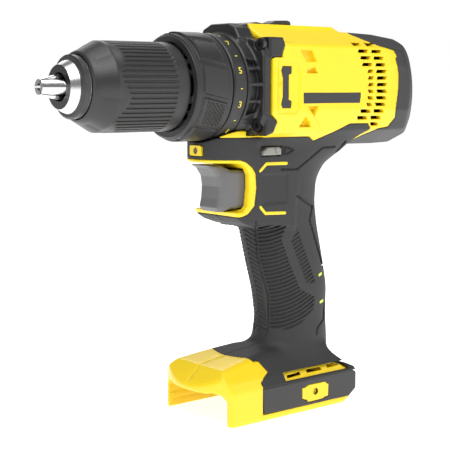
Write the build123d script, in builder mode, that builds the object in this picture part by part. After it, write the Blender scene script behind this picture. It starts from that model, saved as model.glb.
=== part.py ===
from build123d import *
import math
import os

os.makedirs("parts", exist_ok=True)

# Frame: the spindle axis is X and the nose of the chuck lies in the plane X = 0.
# The tool points along -X, the handle hangs along -Z and the left side is -Y.

# ---- driving dimensions, in mm ----
CLEAR = 0.3  # between parts that move past each other

# chuck
NOSE_R = 10.0
BIT_R = 6.6
CHUCK_NECK_R = 12.2
CHUCK_FRONT_R = 14.4
CHUCK_BODY_R = 17.4
CHUCK_REAR = 50.0
CHUCK_HUB_END = 57.5
THREAD_R = 6.37
THREAD_START = 34.0
NUT_X = (24.0, 31.0)
NUT_R = (15.2, 19.0)
JAW_COUNT = 3
FIRST_JAW = 60.0
JAW_R = 3.6
JAW_SLANT = 15.0
JAW_CROSS = -9.4
JAW_TIP = -10.2
JAW_REAR = 26.0
JAW_GRIP_R = 1.5
JAW_GAP = 0.35
SLEEVE_X = (8.5, 18.5, 58.5)
SLEEVE_R = (15.6, 21.0, 21.2)
SLEEVE_BORE_R = 19.1
SLEEVE_GROOVES = 30
GROOVE_X = (22.0, 52.0)
GROOVE_R = 0.8

# torque collar and number ring
COLLAR_X = (59.5, 80.1)
COLLAR_R = (25.3, 26.3)
COLLAR_BORE_R = 23.0
COLLAR_FRONT_BORE_R = 17.0
RING_X = (80.5, 88.3)
RING_R = (24.6, 26.0)
KEY_WIDTH = 8.0
KEY_R = 21.2
CLUTCH_NUT_X = (66.2, 71.0)
NOSE_TUBE_R = (14.02, 16.4)
CLUTCH_PINS = 6
CLUTCH_PIN_R = 2.0
CLUTCH_PIN_AT = 20.5
KEY_X = (64.0, 75.5)
COLLAR_GRIPS = 16
COLLAR_GRIP_R = 1.4
COLLAR_GRIP_X = (62.0, 77.0)
NUMBER_SEAT_X = 76.0

# three-stage planetary gearbox
MODULE = 0.8
BACKLASH = 0.16
PLANETS = 3
SUN_TEETH = (12, 18, 18)
PLANET_TEETH = (18, 15, 15)
RING_TEETH = 48
RING_OUTER_R = 23.0
CARRIER_R = 17.0
PIN_R = 2.0
SUN_X = ((108.7, 114.8), (98.9, 104.9), (88.9, 95.6))
PLANET_X = ((108.7, 114.3), (99.2, 104.2), (89.3, 94.9))
RING_GEAR_X = ((108.8, 115.0), (98.9, 104.4), (88.8, 95.4))
CARRIER_X = ((104.9, 107.9), (95.6, 98.3))
OUTPUT_PLATE_X = (85.5, 88.5)

# gear case
CASE_X = (82.0, 88.7, 101.3, 118.0)
CASE_R = (24.3, 26.4, 24.8)
CASE_BORE_R = 23.04
EARS = ((-24.5, 20.5), (24.5, 20.5), (-22.5, -18.5), (22.5, -18.5))
EAR_R = 4.4
EAR_X = (99.0, 106.5)
HOOD_TOP = 31.0
FLANGE_X = 96.0
FLANGE_SIZE = (57.0, 47.0)

# motor
SHAFT_R = 1.585
CAN_X = (118.0, 160.0)
CAN_R = 19.0
CAN_WALL = 1.5
ARMATURE_R = 14.1
ARMATURE_X = (127.0, 153.0)
ARMATURE_SLOTS = 8
COMMUTATOR_X = (159.0, 168.0)
COMMUTATOR_R = 5.5
END_BELL_X = (160.0, 171.5)
FAN_X = (173.0, 180.0)
FAN_R = 17.0
FAN_BLADES = 11
SHAFT_END = 182.0

# housing
SKIN = 1.6
WALL = 3.6
BARREL_FRONT = 101.5
BARREL_SECTIONS = (
    (101.5, 59.0, 60.9, 0.45, 19.0),
    (168.0, 59.0, 60.9, 0.45, 19.0),
    (186.0, 57.6, 58.4, -1.3, 18.0),
    (205.0, 54.4, 56.4, -2.3, 17.0),
    (214.0, 44.0, 46.0, -1.7, 15.0),
)
HANDLE_SECTIONS = (
    (-20.0, 141.0, 43.0, 24.5),
    (-30.0, 138.5, 36.5, 22.0),
    (-38.0, 132.5, 29.5, 19.5),
    (-46.0, 129.8, 25.8, 18.0),
    (-60.0, 129.0, 24.6, 16.5),
    (-72.0, 131.8, 24.1, 16.0),
    (-88.0, 135.4, 23.8, 16.0),
    (-105.0, 139.6, 23.0, 16.0),
    (-120.0, 140.4, 21.4, 16.0),
    (-131.0, 140.0, 22.5, 18.0),
    (-141.0, 137.0, 27.0, 23.0),
)
HEAD_HALF_WIDTH = 17.0
HEAD_PROFILE = (
    (77.0, -20.0), (77.0, -36.0), (94.0, -36.0), (101.4, -43.0), (102.2, -50.0),
    (101.0, -57.5), (96.4, -62.0), (91.7, -63.5), (94.5, -67.0), (106.0, -70.0),
    (128.0, -70.0), (128.0, -20.0),
)
BAND_INNER = (
    (76.0, -36.0), (94.0, -36.0), (101.4, -43.0), (102.2, -50.0), (101.0, -57.5),
    (96.4, -62.0), (90.0, -63.9),
)
BAND_OUTER = (
    (90.0, -67.3), (97.4, -65.0), (103.6, -59.2), (105.3, -50.0), (104.2, -41.8),
    (95.3, -33.0), (76.0, -33.0),
)
CAP_LINE = (
    (168.0, 40.0), (168.0, 27.5), (173.0, 24.4), (179.0, 20.9), (188.4, 19.1),
    (190.5, 12.0), (190.7, -2.7), (189.3, -17.0), (185.7, -21.0), (177.6, -22.0),
    (166.0, -28.0), (166.0, -40.0),
)
CAP_GAP = 0.2
GRIP_LINE = (
    (70.0, -24.3), (130.9, -24.7), (135.2, -27.1), (155.8, -19.1), (170.4, -18.7),
    (173.3, -21.0), (165.8, -27.8), (165.8, -34.0), (200.0, -34.0),
)
HEAD_SADDLE_R = 27.0
MOTOR_RIBS = (124.0, 152.0)
RIB_WIDTH = 3.0

# foot and battery bay
FOOT_BOTTOM = -165.4
FOOT_REAR = 163.5
FOOT_HALF_WIDTH = 27.4
FOOT_FRONT = 76.2
FOOT_LIP = 69.8
FOOT_PROFILE = (
    (66.0, FOOT_BOTTOM), (66.0, -147.2), (78.7, -138.3), (94.6, -135.3), (112.0, -134.4),
    (150.0, -137.0), (158.6, -145.5), (162.6, -147.4), (FOOT_REAR, -150.4),
    (FOOT_REAR, -159.6), (157.2, -163.6), (153.8, FOOT_BOTTOM),
)
BAY_HALF_WIDTH = 24.0
BAY_TOP = -150.0
BAY_END = 150.0
RAIL_REACH = 3.0
RAIL_Z = (-161.0, -158.0)
RAIL_X = (80.0, 146.0)
PANEL_X = (97.0, 160.5)
PANEL_Z = (-161.4, -149.5)
PANEL_DEPTH = 1.4
PAD_AT = (133.4, -155.9)
PAD_SIZE = (18.4, 6.5)
INSERT_R = (1.65, 2.8)

# controls
TRIGGER_PROFILE = (
    (78.6, -38.0), (82.4, -40.2), (85.2, -44.0), (86.0, -49.0), (85.4, -56.0),
    (84.6, -59.6), (86.0, -61.2), (88.0, -61.2), (91.0, -59.8), (107.0, -59.8),
    (107.0, -40.8), (91.0, -40.8), (86.6, -38.4),
)
TRIGGER_HALF_WIDTH = 8.0
TRIGGER_TRAVEL = 7.0
LEVER_X = (105.0, 117.0)
LEVER_Z = (-33.8, -29.6)
LEVER_HALF_LENGTH = 18.6
SWITCH_X = (116.0, 143.0)
SWITCH_Z = (-62.0, -41.0)
SWITCH_HALF_WIDTH = 9.0
PLUNGER_R = 2.5
KNOB_X = (121.5, 136.0)
KNOB_Z = (31.2, 33.8)
KNOB_HALF_WIDTH = 4.2
KNOB_SLOT_AT = 130.7
KNOB_SLOT = (13.6, 6.6)
KNOB_STEM_AT = 128.7
KNOB_STEM = (9.0, 6.0)
PLUNGER_Z = -50.0
LIGHT_AT = (0.0, -31.0)
LIGHT_X = (76.6, 79.6)
LIGHT_SIZE = (9.0, 5.0)

# screws that close the two halves, as (x, z, head seat)
CLAMP_SCREWS = (
    (148.0, 23.5, 22.5), (166.0, 22.5, 22.0), (148.0, -24.5, 20.0), (124.0, -30.0, 15.5),
    (118.5, -75.0, 8.6), (151.0, -108.0, 9.6), (98.0, -143.5, 22.0), (153.0, -144.5, 20.0),
)
SCREW_R = 1.5
SCREW_HEAD_R = 2.9
SCREW_HEAD_H = 2.0
EAR_SCREW_LENGTH = 19.0
BOSS_R = 3.2
LEAD_R = 1.0


def half_section(*points):
    """A face on the half plane through the spindle axis, from (x, radius) corners."""
    Polygon(*points, align=None)


def outline(points, mode=Mode.ADD):
    """A closed face with straight sides."""
    Polygon(*points, align=None, mode=mode)


def on_circle(radius, degrees):
    """The (y, z) place at a radius and an angle from +Y towards +Z."""
    turn = math.radians(degrees)
    return (radius * math.cos(turn), radius * math.sin(turn))


def gear_corners(teeth, root_r, tip_r, root_share, tip_share, phase):
    """Corners of a gear with flat flanks; the shares are tooth widths over the tooth angle."""
    pitch = 360 / teeth
    corners = []
    for tooth in range(teeth):
        middle = phase + tooth * pitch
        corners.append(on_circle(root_r, middle - root_share * pitch / 2))
        corners.append(on_circle(tip_r, middle - tip_share * pitch / 2))
        corners.append(on_circle(tip_r, middle + tip_share * pitch / 2))
        corners.append(on_circle(root_r, middle + root_share * pitch / 2))
    return corners


def outer_gear(teeth, phase):
    """The outline of a gear with outward teeth."""
    pitch_r = MODULE * teeth / 2
    width = math.pi * MODULE / 2 - BACKLASH
    tip_r = pitch_r + 0.85 * MODULE
    root_r = pitch_r - 1.2 * MODULE
    tip_share = 0.52 * width / (math.pi * MODULE)
    root_share = 1.5 * width / (math.pi * MODULE)
    outline(gear_corners(teeth, root_r, tip_r, root_share, tip_share, phase))


def inner_gear_corners(teeth, phase):
    """The opening of a ring gear: its gaps are centred half a tooth from the phase."""
    pitch_r = MODULE * teeth / 2
    width = math.pi * MODULE / 2 - BACKLASH
    tip_r = pitch_r - 0.8 * MODULE
    root_r = pitch_r + 1.15 * MODULE
    tip_gap = 1 - 0.55 * width / (math.pi * MODULE)
    root_gap = 1 - 1.5 * width / (math.pi * MODULE)
    gap_phase = phase + 180 / teeth
    return gear_corners(teeth, tip_r, root_r, tip_gap, root_gap, gap_phase)


def orbit_r(stage):
    """The distance of a stage's planets from the spindle axis."""
    return MODULE * (SUN_TEETH[stage] + PLANET_TEETH[stage]) / 2


def planet_phase(stage, degrees):
    """The tooth phase that puts a planet's gap on the sun's tooth."""
    sun_pitch = 360 / SUN_TEETH[stage]
    planet_pitch = 360 / PLANET_TEETH[stage]
    sun_tooth = (degrees / sun_pitch) % 1
    return degrees + 180 - (0.5 - sun_tooth) * planet_pitch


def ring_phase(stage):
    """The tooth phase of a ring gear that meshes with the planet at 0 degrees."""
    planet_pitch = 360 / PLANET_TEETH[stage]
    planet_tooth = ((0 - planet_phase(stage, 0)) / planet_pitch) % 1
    return -(planet_tooth - 0.5) * 360 / RING_TEETH


def spaced(count, start=0):
    """Angles spaced evenly round the axis."""
    return [start + step * 360 / count for step in range(count)]


# ---- chuck: body, front ring, nut, sleeve, jaws and the screw that holds it ----
def jaw_plane(degrees):
    """The plane across a jaw where its own axis meets the spindle axis."""
    slant = math.radians(JAW_SLANT)
    y, z = on_circle(math.sin(slant), degrees)
    return Plane(origin=(JAW_CROSS, 0, 0), z_dir=(math.cos(slant), y, z))


JAW_BORE_START = 6.0
JAW_BORE_END = 57.0
JAW_BORE_R = JAW_R + 0.08
HEX_SCREW_HEAD_R = 4.4
HEX_SCREW_R = 3.0

with BuildPart() as chuck_body:
    with BuildSketch(Plane.XZ):
        half_section(
            (0, BIT_R), (0, NOSE_R), (4, CHUCK_NECK_R), (8, CHUCK_NECK_R),
            (8, CHUCK_FRONT_R), (18, CHUCK_FRONT_R), (20, CHUCK_BODY_R),
            (NUT_X[0] - CLEAR, CHUCK_BODY_R), (NUT_X[0] - CLEAR, NUT_R[0] - 0.2),
            (NUT_X[1] + CLEAR, NUT_R[0] - 0.2), (NUT_X[1] + CLEAR, CHUCK_BODY_R),
            (CHUCK_REAR, CHUCK_BODY_R), (CHUCK_REAR + 2, 12), (CHUCK_HUB_END, 12),
            (CHUCK_HUB_END, THREAD_R), (THREAD_START, THREAD_R),
            (THREAD_START, HEX_SCREW_R + 0.1), (THREAD_START - 3, HEX_SCREW_R + 0.1),
            (THREAD_START - 3, BIT_R),
        )
    revolve(axis=Axis.X)
    for angle in spaced(JAW_COUNT, FIRST_JAW):
        with BuildSketch(jaw_plane(angle).offset(JAW_BORE_START)):
            Circle(JAW_BORE_R)
        extrude(amount=JAW_BORE_END - JAW_BORE_START, mode=Mode.SUBTRACT)
chuck_body.part.label = "chuck_body"
export_step(chuck_body.part, "parts/chuck_body.step")

with BuildPart() as chuck_front_ring:
    with BuildSketch(Plane.XZ):
        half_section(
            (4.4, CHUCK_NECK_R), (4.4, 13.6), (5.2, 14.5), (7.9, 14.5), (7.9, CHUCK_NECK_R)
        )
    revolve(axis=Axis.X)
chuck_front_ring.part.label = "chuck_front_ring"
export_step(chuck_front_ring.part, "parts/chuck_front_ring.step")

with BuildPart() as chuck_nut:
    with BuildSketch(Plane.YZ.offset(NUT_X[0])):
        Circle(NUT_R[1])
        Circle(NUT_R[0], mode=Mode.SUBTRACT)
    extrude(amount=NUT_X[1] - NUT_X[0])
chuck_nut.part.label = "chuck_nut"
export_step(chuck_nut.part, "parts/chuck_nut.step")

with BuildPart() as chuck_sleeve:
    with BuildSketch(Plane.XZ):
        half_section(
            (SLEEVE_X[0], 14.8), (SLEEVE_X[0], SLEEVE_R[0]), (SLEEVE_X[1], SLEEVE_R[1]),
            (SLEEVE_X[2] - 0.8, SLEEVE_R[2]), (SLEEVE_X[2], SLEEVE_R[2] - 0.8),
            (SLEEVE_X[2], 12.4), (SLEEVE_X[2] - 3, 12.4), (SLEEVE_X[2] - 3, SLEEVE_BORE_R),
            (NUT_X[1], SLEEVE_BORE_R), (NUT_X[1], NUT_R[1]), (19, NUT_R[1]), (11, 14.8),
        )
    revolve(axis=Axis.X)
    with BuildSketch(Plane.YZ.offset(GROOVE_X[0])):
        with PolarLocations(SLEEVE_R[2], SLEEVE_GROOVES):
            Circle(GROOVE_R)
    extrude(amount=GROOVE_X[1] - GROOVE_X[0], mode=Mode.SUBTRACT)
chuck_sleeve.part.label = "chuck_sleeve"
export_step(chuck_sleeve.part, "parts/chuck_sleeve.step")

for number, angle in enumerate(spaced(JAW_COUNT, FIRST_JAW), 1):
    left_y, left_z = on_circle(24, angle + 60)
    right_y, right_z = on_circle(24, angle - 60)
    shift_y, shift_z = on_circle(JAW_GAP, angle)
    far_y, far_z = on_circle(24, angle)
    with BuildPart() as jaw:
        with BuildSketch(jaw_plane(angle).offset(-JAW_BORE_START)):
            Circle(JAW_R)
        extrude(amount=JAW_BORE_END)
        with BuildSketch(Plane.YZ.offset(JAW_TIP)):
            outline(
                [
                    (shift_y, shift_z), (left_y + shift_y, left_z + shift_z),
                    (left_y + far_y, left_z + far_z), (right_y + far_y, right_z + far_z),
                    (right_y + shift_y, right_z + shift_z),
                ]
            )
            Circle(JAW_GRIP_R, mode=Mode.SUBTRACT)
        extrude(amount=JAW_REAR - JAW_TIP, mode=Mode.INTERSECT)
    jaw.part.label = f"chuck_jaw_{number}"
    export_step(jaw.part, f"parts/chuck_jaw_{number}.step")

with BuildPart() as chuck_screw:
    with BuildSketch(Plane.XZ):
        half_section(
            (28, 0), (28, HEX_SCREW_HEAD_R), (THREAD_START - 3, HEX_SCREW_HEAD_R),
            (THREAD_START - 3, HEX_SCREW_R), (50, HEX_SCREW_R), (50, 0),
        )
    revolve(axis=Axis.X)
    with BuildSketch(Plane.YZ.offset(28)):
        RegularPolygon(2.2, 6)
    extrude(amount=2, mode=Mode.SUBTRACT)
chuck_screw.part.label = "chuck_screw"
export_step(chuck_screw.part, "parts/chuck_screw.step")

# ---- spindle, its bearing and the planetary stages ----
BEARING_X = (74.0, 82.0)
BEARING_RACES = ((6.05, 8.2), (11.4, NOSE_TUBE_R[0] - 0.02))
BALL_COUNT = 8
BALL_R = 1.55

with BuildPart() as spindle:
    with BuildSketch(Plane.XZ):
        half_section(
            (THREAD_START + 0.2, HEX_SCREW_R + 0.05), (THREAD_START + 0.2, 6.3), (58, 6.3),
            (58, 8), (62, 8), (62, 6), (OUTPUT_PLATE_X[0], 6), (OUTPUT_PLATE_X[0], CARRIER_R),
            (OUTPUT_PLATE_X[1], CARRIER_R), (OUTPUT_PLATE_X[1], 0), (52, 0),
            (52, HEX_SCREW_R + 0.05),
        )
    revolve(axis=Axis.X)
    with BuildSketch(Plane.YZ.offset(OUTPUT_PLATE_X[1])):
        with PolarLocations(orbit_r(2), PLANETS):
            Circle(PIN_R)
    extrude(amount=PLANET_X[2][1] - OUTPUT_PLATE_X[1])
spindle.part.label = "spindle"
export_step(spindle.part, "parts/spindle.step")

with BuildPart() as spindle_bearing:
    for inner_r, outer_r in BEARING_RACES:
        with BuildSketch(Plane.YZ.offset(BEARING_X[0])):
            Circle(outer_r)
            Circle(inner_r, mode=Mode.SUBTRACT)
        extrude(amount=BEARING_X[1] - BEARING_X[0])
    ball_ring_r = (BEARING_RACES[0][1] + BEARING_RACES[1][0]) / 2
    with Locations(
        *[(sum(BEARING_X) / 2, *on_circle(ball_ring_r, angle)) for angle in spaced(BALL_COUNT)]
    ):
        Sphere(BALL_R)
spindle_bearing.part.label = "spindle_bearing"
export_step(spindle_bearing.part, "parts/spindle_bearing.step")

for stage, front in ((0, CARRIER_X[0]), (1, CARRIER_X[1])):
    next_stage = stage + 1
    with BuildPart() as carrier:
        with BuildSketch(Plane.YZ.offset(front[0])):
            Circle(CARRIER_R)
        extrude(amount=front[1] - front[0])
        with BuildSketch(Plane.YZ.offset(front[1])):
            with PolarLocations(orbit_r(stage), PLANETS):
                Circle(PIN_R)
        extrude(amount=PLANET_X[stage][1] - front[1])
        with BuildSketch(Plane.YZ.offset(SUN_X[next_stage][0])):
            outer_gear(SUN_TEETH[next_stage], 0)
        extrude(amount=front[0] - SUN_X[next_stage][0])
    carrier.part.label = f"planet_carrier_{stage + 1}"
    export_step(carrier.part, f"parts/planet_carrier_{stage + 1}.step")

for stage in range(3):
    for number, angle in enumerate(spaced(PLANETS), 1):
        centre = on_circle(orbit_r(stage), angle)
        with BuildPart() as planet:
            with BuildSketch(Plane(origin=(PLANET_X[stage][0], *centre), x_dir=(0, 1, 0), z_dir=(1, 0, 0))):
                outer_gear(PLANET_TEETH[stage], planet_phase(stage, angle))
                Circle(PIN_R + 0.06, mode=Mode.SUBTRACT)
            extrude(amount=PLANET_X[stage][1] - PLANET_X[stage][0])
        planet.part.label = f"planet_{stage + 1}_{number}"
        export_step(planet.part, f"parts/planet_{stage + 1}_{number}.step")

with BuildPart() as fixed_ring_gears:
    for stage in (0, 2):
        with BuildSketch(Plane.YZ.offset(RING_GEAR_X[stage][0])):
            Circle(RING_OUTER_R)
            outline(inner_gear_corners(RING_TEETH, ring_phase(stage)), Mode.SUBTRACT)
        extrude(amount=RING_GEAR_X[stage][1] - RING_GEAR_X[stage][0])
fixed_ring_gears.part.label = "fixed_ring_gears"
export_step(fixed_ring_gears.part, "parts/fixed_ring_gears.step")

with BuildPart() as shift_ring_gear:
    with BuildSketch(Plane.YZ.offset(RING_GEAR_X[1][0])):
        Circle(RING_OUTER_R)
        outline(inner_gear_corners(RING_TEETH, ring_phase(1)), Mode.SUBTRACT)
    extrude(amount=RING_GEAR_X[1][1] - RING_GEAR_X[1][0])
    with BuildSketch(Plane.XZ):
        half_section((101.9, 21.9), (101.9, 24), (103.5, 24), (103.5, 21.9))
    revolve(axis=Axis.X, mode=Mode.SUBTRACT)
shift_ring_gear.part.label = "shift_ring_gear"
export_step(shift_ring_gear.part, "parts/shift_ring_gear.step")

# ---- gear case with its nose tube, hood and screw ears ----
PIN_WALL_X = (82.0, 88.4)
SHIFT_SLOT_X = (101.8, 108.0)
HOOD_X = 91.0
HOOD_WIDTH = 31.0
HOOD_ROOT = 22.0
WINDOW_X = 95.0
WINDOW_ROWS = (9.0, 0.0, -9.0)
WINDOW_SIZE = (8.0, 6.0)
MOUNT_PLATE_X = (115.2, 117.8)

with BuildPart() as gear_case:
    with BuildSketch(Plane.XZ):
        half_section(
            (63, NOSE_TUBE_R[0]), (63, NOSE_TUBE_R[1]), (CASE_X[0], NOSE_TUBE_R[1]),
            (CASE_X[0], CASE_R[0]), (CASE_X[1], CASE_R[0]), (CASE_X[1], CASE_R[1]),
            (CASE_X[2], CASE_R[1]), (CASE_X[2], CASE_R[2]), (CASE_X[3], CASE_R[2]),
            (CASE_X[3], CASE_BORE_R), (PIN_WALL_X[1], CASE_BORE_R), (PIN_WALL_X[1], 17.5),
            (84.6, 17.5), (84.6, 8.5), (PIN_WALL_X[0], 8.5), (PIN_WALL_X[0], NOSE_TUBE_R[0]),
        )
    revolve(axis=Axis.X)
    with BuildSketch(Plane.YZ.offset(PIN_WALL_X[0])):
        with PolarLocations(CLUTCH_PIN_AT, CLUTCH_PINS):
            Circle(CLUTCH_PIN_R + 0.08)
    extrude(amount=PIN_WALL_X[1] - PIN_WALL_X[0], mode=Mode.SUBTRACT)
    with BuildSketch(Plane.YZ.offset(FLANGE_X)):
        RectangleRounded(*FLANGE_SIZE, 14)
        Circle(CASE_BORE_R + 1, mode=Mode.SUBTRACT)
    extrude(amount=CASE_X[2] - FLANGE_X)
    with BuildSketch(Plane.YZ.offset(HOOD_X)):
        with Locations((0, HOOD_ROOT)):
            RectangleRounded(HOOD_WIDTH, 2 * (HOOD_TOP - HOOD_ROOT), 6)
        Circle(CASE_BORE_R + 1, mode=Mode.SUBTRACT)
    extrude(amount=CASE_X[2] - HOOD_X)
    with BuildSketch(Plane.YZ.offset(EAR_X[0])):
        with Locations(*EARS):
            Circle(EAR_R)
    extrude(amount=EAR_X[1] - EAR_X[0])
    with BuildSketch(Plane.YZ.offset(CASE_X[1])):
        Circle(CASE_BORE_R)
    extrude(amount=CASE_X[3] - CASE_X[1], mode=Mode.SUBTRACT)
    with BuildSketch(Plane.YZ.offset(EAR_X[0])):
        with Locations(*EARS):
            Circle(SCREW_R + 0.1)
    extrude(amount=EAR_X[1] - EAR_X[0], mode=Mode.SUBTRACT)
    with BuildSketch(Plane.YZ.offset(FLANGE_X - 1)):
        with Locations(*EARS):
            Circle(SCREW_HEAD_R + 0.3)
    extrude(amount=EAR_X[0] - FLANGE_X + 1, mode=Mode.SUBTRACT)
    with BuildSketch(Plane.XY.offset(20)):
        with Locations((sum(SHIFT_SLOT_X) / 2, 0)):
            Rectangle(SHIFT_SLOT_X[1] - SHIFT_SLOT_X[0], 3.8)
    extrude(amount=6, mode=Mode.SUBTRACT)
    with BuildSketch(Plane.XZ):
        with Locations(*[(WINDOW_X, z) for z in WINDOW_ROWS]):
            Rectangle(*WINDOW_SIZE)
    extrude(amount=40, both=True, mode=Mode.SUBTRACT)
gear_case.part.label = "gear_case"
export_step(gear_case.part, "parts/gear_case.step")

with BuildPart() as motor_mount_plate:
    with BuildSketch(Plane.YZ.offset(MOUNT_PLATE_X[0])):
        Circle(RING_OUTER_R - 0.1)
        Circle(6.2, mode=Mode.SUBTRACT)
    extrude(amount=MOUNT_PLATE_X[1] - MOUNT_PLATE_X[0])
motor_mount_plate.part.label = "motor_mount_plate"
export_step(motor_mount_plate.part, "parts/motor_mount_plate.step")

# ---- torque clutch: collar, number ring, nut, spring, washer and pins ----
with BuildPart() as torque_collar:
    with BuildSketch(Plane.XZ):
        half_section(
            (COLLAR_X[0], COLLAR_FRONT_BORE_R), (COLLAR_X[0], COLLAR_R[0] - 0.8),
            (COLLAR_X[0] + 0.8, COLLAR_R[0]), (COLLAR_X[1], COLLAR_R[1]),
            (COLLAR_X[1], RING_R[0] - 0.1), (NUMBER_SEAT_X, RING_R[0] - 0.1),
            (NUMBER_SEAT_X, COLLAR_BORE_R),
            (62.5, COLLAR_BORE_R), (62.5, COLLAR_FRONT_BORE_R),
        )
    revolve(axis=Axis.X)
    with BuildSketch(Plane.YZ.offset(KEY_X[0])):
        with PolarLocations((COLLAR_BORE_R + KEY_R) / 2, 3, start_angle=90):
            Rectangle(COLLAR_BORE_R - KEY_R + 1, KEY_WIDTH)
        Circle(KEY_R, mode=Mode.SUBTRACT)
    extrude(amount=KEY_X[1] - KEY_X[0])
    with BuildSketch(Plane.YZ.offset(COLLAR_GRIP_X[0])):
        with PolarLocations(COLLAR_R[1] + 0.6, COLLAR_GRIPS):
            Circle(COLLAR_GRIP_R)
    extrude(amount=COLLAR_GRIP_X[1] - COLLAR_GRIP_X[0], mode=Mode.SUBTRACT)
torque_collar.part.label = "torque_collar"
export_step(torque_collar.part, "parts/torque_collar.step")

with BuildPart() as number_ring:
    with BuildSketch(Plane.XZ):
        half_section(
            (NUMBER_SEAT_X + 0.2, COLLAR_BORE_R + 0.3), (NUMBER_SEAT_X + 0.2, RING_R[0] - 0.2),
            (RING_X[0], RING_R[0] - 0.2),
            (RING_X[0], RING_R[1]), (RING_X[1], RING_R[1]), (RING_X[1], RING_R[0]),
            (RING_X[0] + 0.8, RING_R[0]), (RING_X[0] + 0.8, COLLAR_BORE_R + 0.3),
        )
    revolve(axis=Axis.X)
number_ring.part.label = "number_ring"
export_step(number_ring.part, "parts/number_ring.step")

with BuildPart() as clutch_nut:
    with BuildSketch(Plane.YZ.offset(CLUTCH_NUT_X[0])):
        Circle(COLLAR_BORE_R - 0.4)
        Circle(NOSE_TUBE_R[1] + 0.1, mode=Mode.SUBTRACT)
        with PolarLocations(COLLAR_BORE_R, 3, start_angle=90):
            Rectangle(2 * (COLLAR_BORE_R - KEY_R + 0.7), KEY_WIDTH + 0.6, mode=Mode.SUBTRACT)
    extrude(amount=CLUTCH_NUT_X[1] - CLUTCH_NUT_X[0])
clutch_nut.part.label = "clutch_nut"
export_step(clutch_nut.part, "parts/clutch_nut.step")

SPRING_WIRE_R = 0.9
SPRING_R = 19.0
SPRING_X = (72.2, 79.3)
SPRING_PITCH = 2.36
with BuildPart() as clutch_spring:
    with BuildLine() as spring_path:
        Helix(
            pitch=SPRING_PITCH, height=SPRING_X[1] - SPRING_X[0], radius=SPRING_R,
            center=(SPRING_X[0], 0, 0), direction=(1, 0, 0),
        )
    with BuildSketch(spring_path.line ^ 0):
        Circle(SPRING_WIRE_R)
    sweep(is_frenet=True)
clutch_spring.part.label = "clutch_spring"
export_step(clutch_spring.part, "parts/clutch_spring.step")

WASHER_X = (80.4, 81.9)
with BuildPart() as clutch_washer:
    with BuildSketch(Plane.YZ.offset(WASHER_X[0])):
        Circle(22.6)
        Circle(NOSE_TUBE_R[1] + 0.2, mode=Mode.SUBTRACT)
    extrude(amount=WASHER_X[1] - WASHER_X[0])
clutch_washer.part.label = "clutch_washer"
export_step(clutch_washer.part, "parts/clutch_washer.step")

with BuildPart() as clutch_pins:
    with BuildSketch(Plane.YZ.offset(PIN_WALL_X[0])):
        with PolarLocations(CLUTCH_PIN_AT, CLUTCH_PINS):
            Circle(CLUTCH_PIN_R)
    extrude(amount=PIN_WALL_X[1] - PIN_WALL_X[0] + 0.3)
    chamfer(clutch_pins.edges().group_by(Axis.X)[-1], 0.6)
clutch_pins.part.label = "clutch_pins"
export_step(clutch_pins.part, "parts/clutch_pins.step")

# ---- motor: can, magnets, armature, windings, commutator, brushes, end bell and fan ----
with BuildPart() as motor_can:
    with BuildSketch(Plane.XZ):
        half_section(
            (CAN_X[0], SHAFT_R + 0.06), (CAN_X[0], CAN_R), (CAN_X[1], CAN_R),
            (CAN_X[1], CAN_R - CAN_WALL), (CAN_X[0] + CAN_WALL, CAN_R - CAN_WALL),
            (CAN_X[0] + CAN_WALL, SHAFT_R + 0.06),
        )
    revolve(axis=Axis.X)
motor_can.part.label = "motor_can"
export_step(motor_can.part, "parts/motor_can.step")

MAGNET_X = (124.0, 156.0)
BRUSH_X = (161.5, 166.5)
WINDING_REACH = 5.0
SLOT_AT = 10.6
with BuildPart() as motor_magnets:
    with BuildSketch(Plane.YZ.offset(MAGNET_X[0])):
        Circle(CAN_R - CAN_WALL - 0.05)
        Circle(ARMATURE_R + 0.6, mode=Mode.SUBTRACT)
        with Locations((14, 0), (-14, 0)):
            Rectangle(16, 14, mode=Mode.SUBTRACT)
    extrude(amount=MAGNET_X[1] - MAGNET_X[0])
motor_magnets.part.label = "motor_magnets"
export_step(motor_magnets.part, "parts/motor_magnets.step")

with BuildPart() as motor_shaft:
    with BuildSketch(Plane.YZ.offset(SUN_X[0][0])):
        Circle(SHAFT_R)
    extrude(amount=SHAFT_END - SUN_X[0][0])
motor_shaft.part.label = "motor_shaft"
export_step(motor_shaft.part, "parts/motor_shaft.step")

with BuildPart() as motor_pinion:
    with BuildSketch(Plane.YZ.offset(SUN_X[0][0])):
        outer_gear(SUN_TEETH[0], 0)
        Circle(SHAFT_R, mode=Mode.SUBTRACT)
    extrude(amount=SUN_X[0][1] - SUN_X[0][0])
motor_pinion.part.label = "motor_pinion"
export_step(motor_pinion.part, "parts/motor_pinion.step")

with BuildPart() as armature_core:
    with BuildSketch(Plane.YZ.offset(ARMATURE_X[0])):
        Circle(ARMATURE_R)
        Circle(SHAFT_R, mode=Mode.SUBTRACT)
        with PolarLocations(SLOT_AT, ARMATURE_SLOTS):
            Rectangle(4.4, 3.4, mode=Mode.SUBTRACT)
        with PolarLocations(13.4, ARMATURE_SLOTS):
            Rectangle(2.4, 1.0, mode=Mode.SUBTRACT)
    extrude(amount=ARMATURE_X[1] - ARMATURE_X[0])
armature_core.part.label = "armature_core"
export_step(armature_core.part, "parts/armature_core.step")

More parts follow.
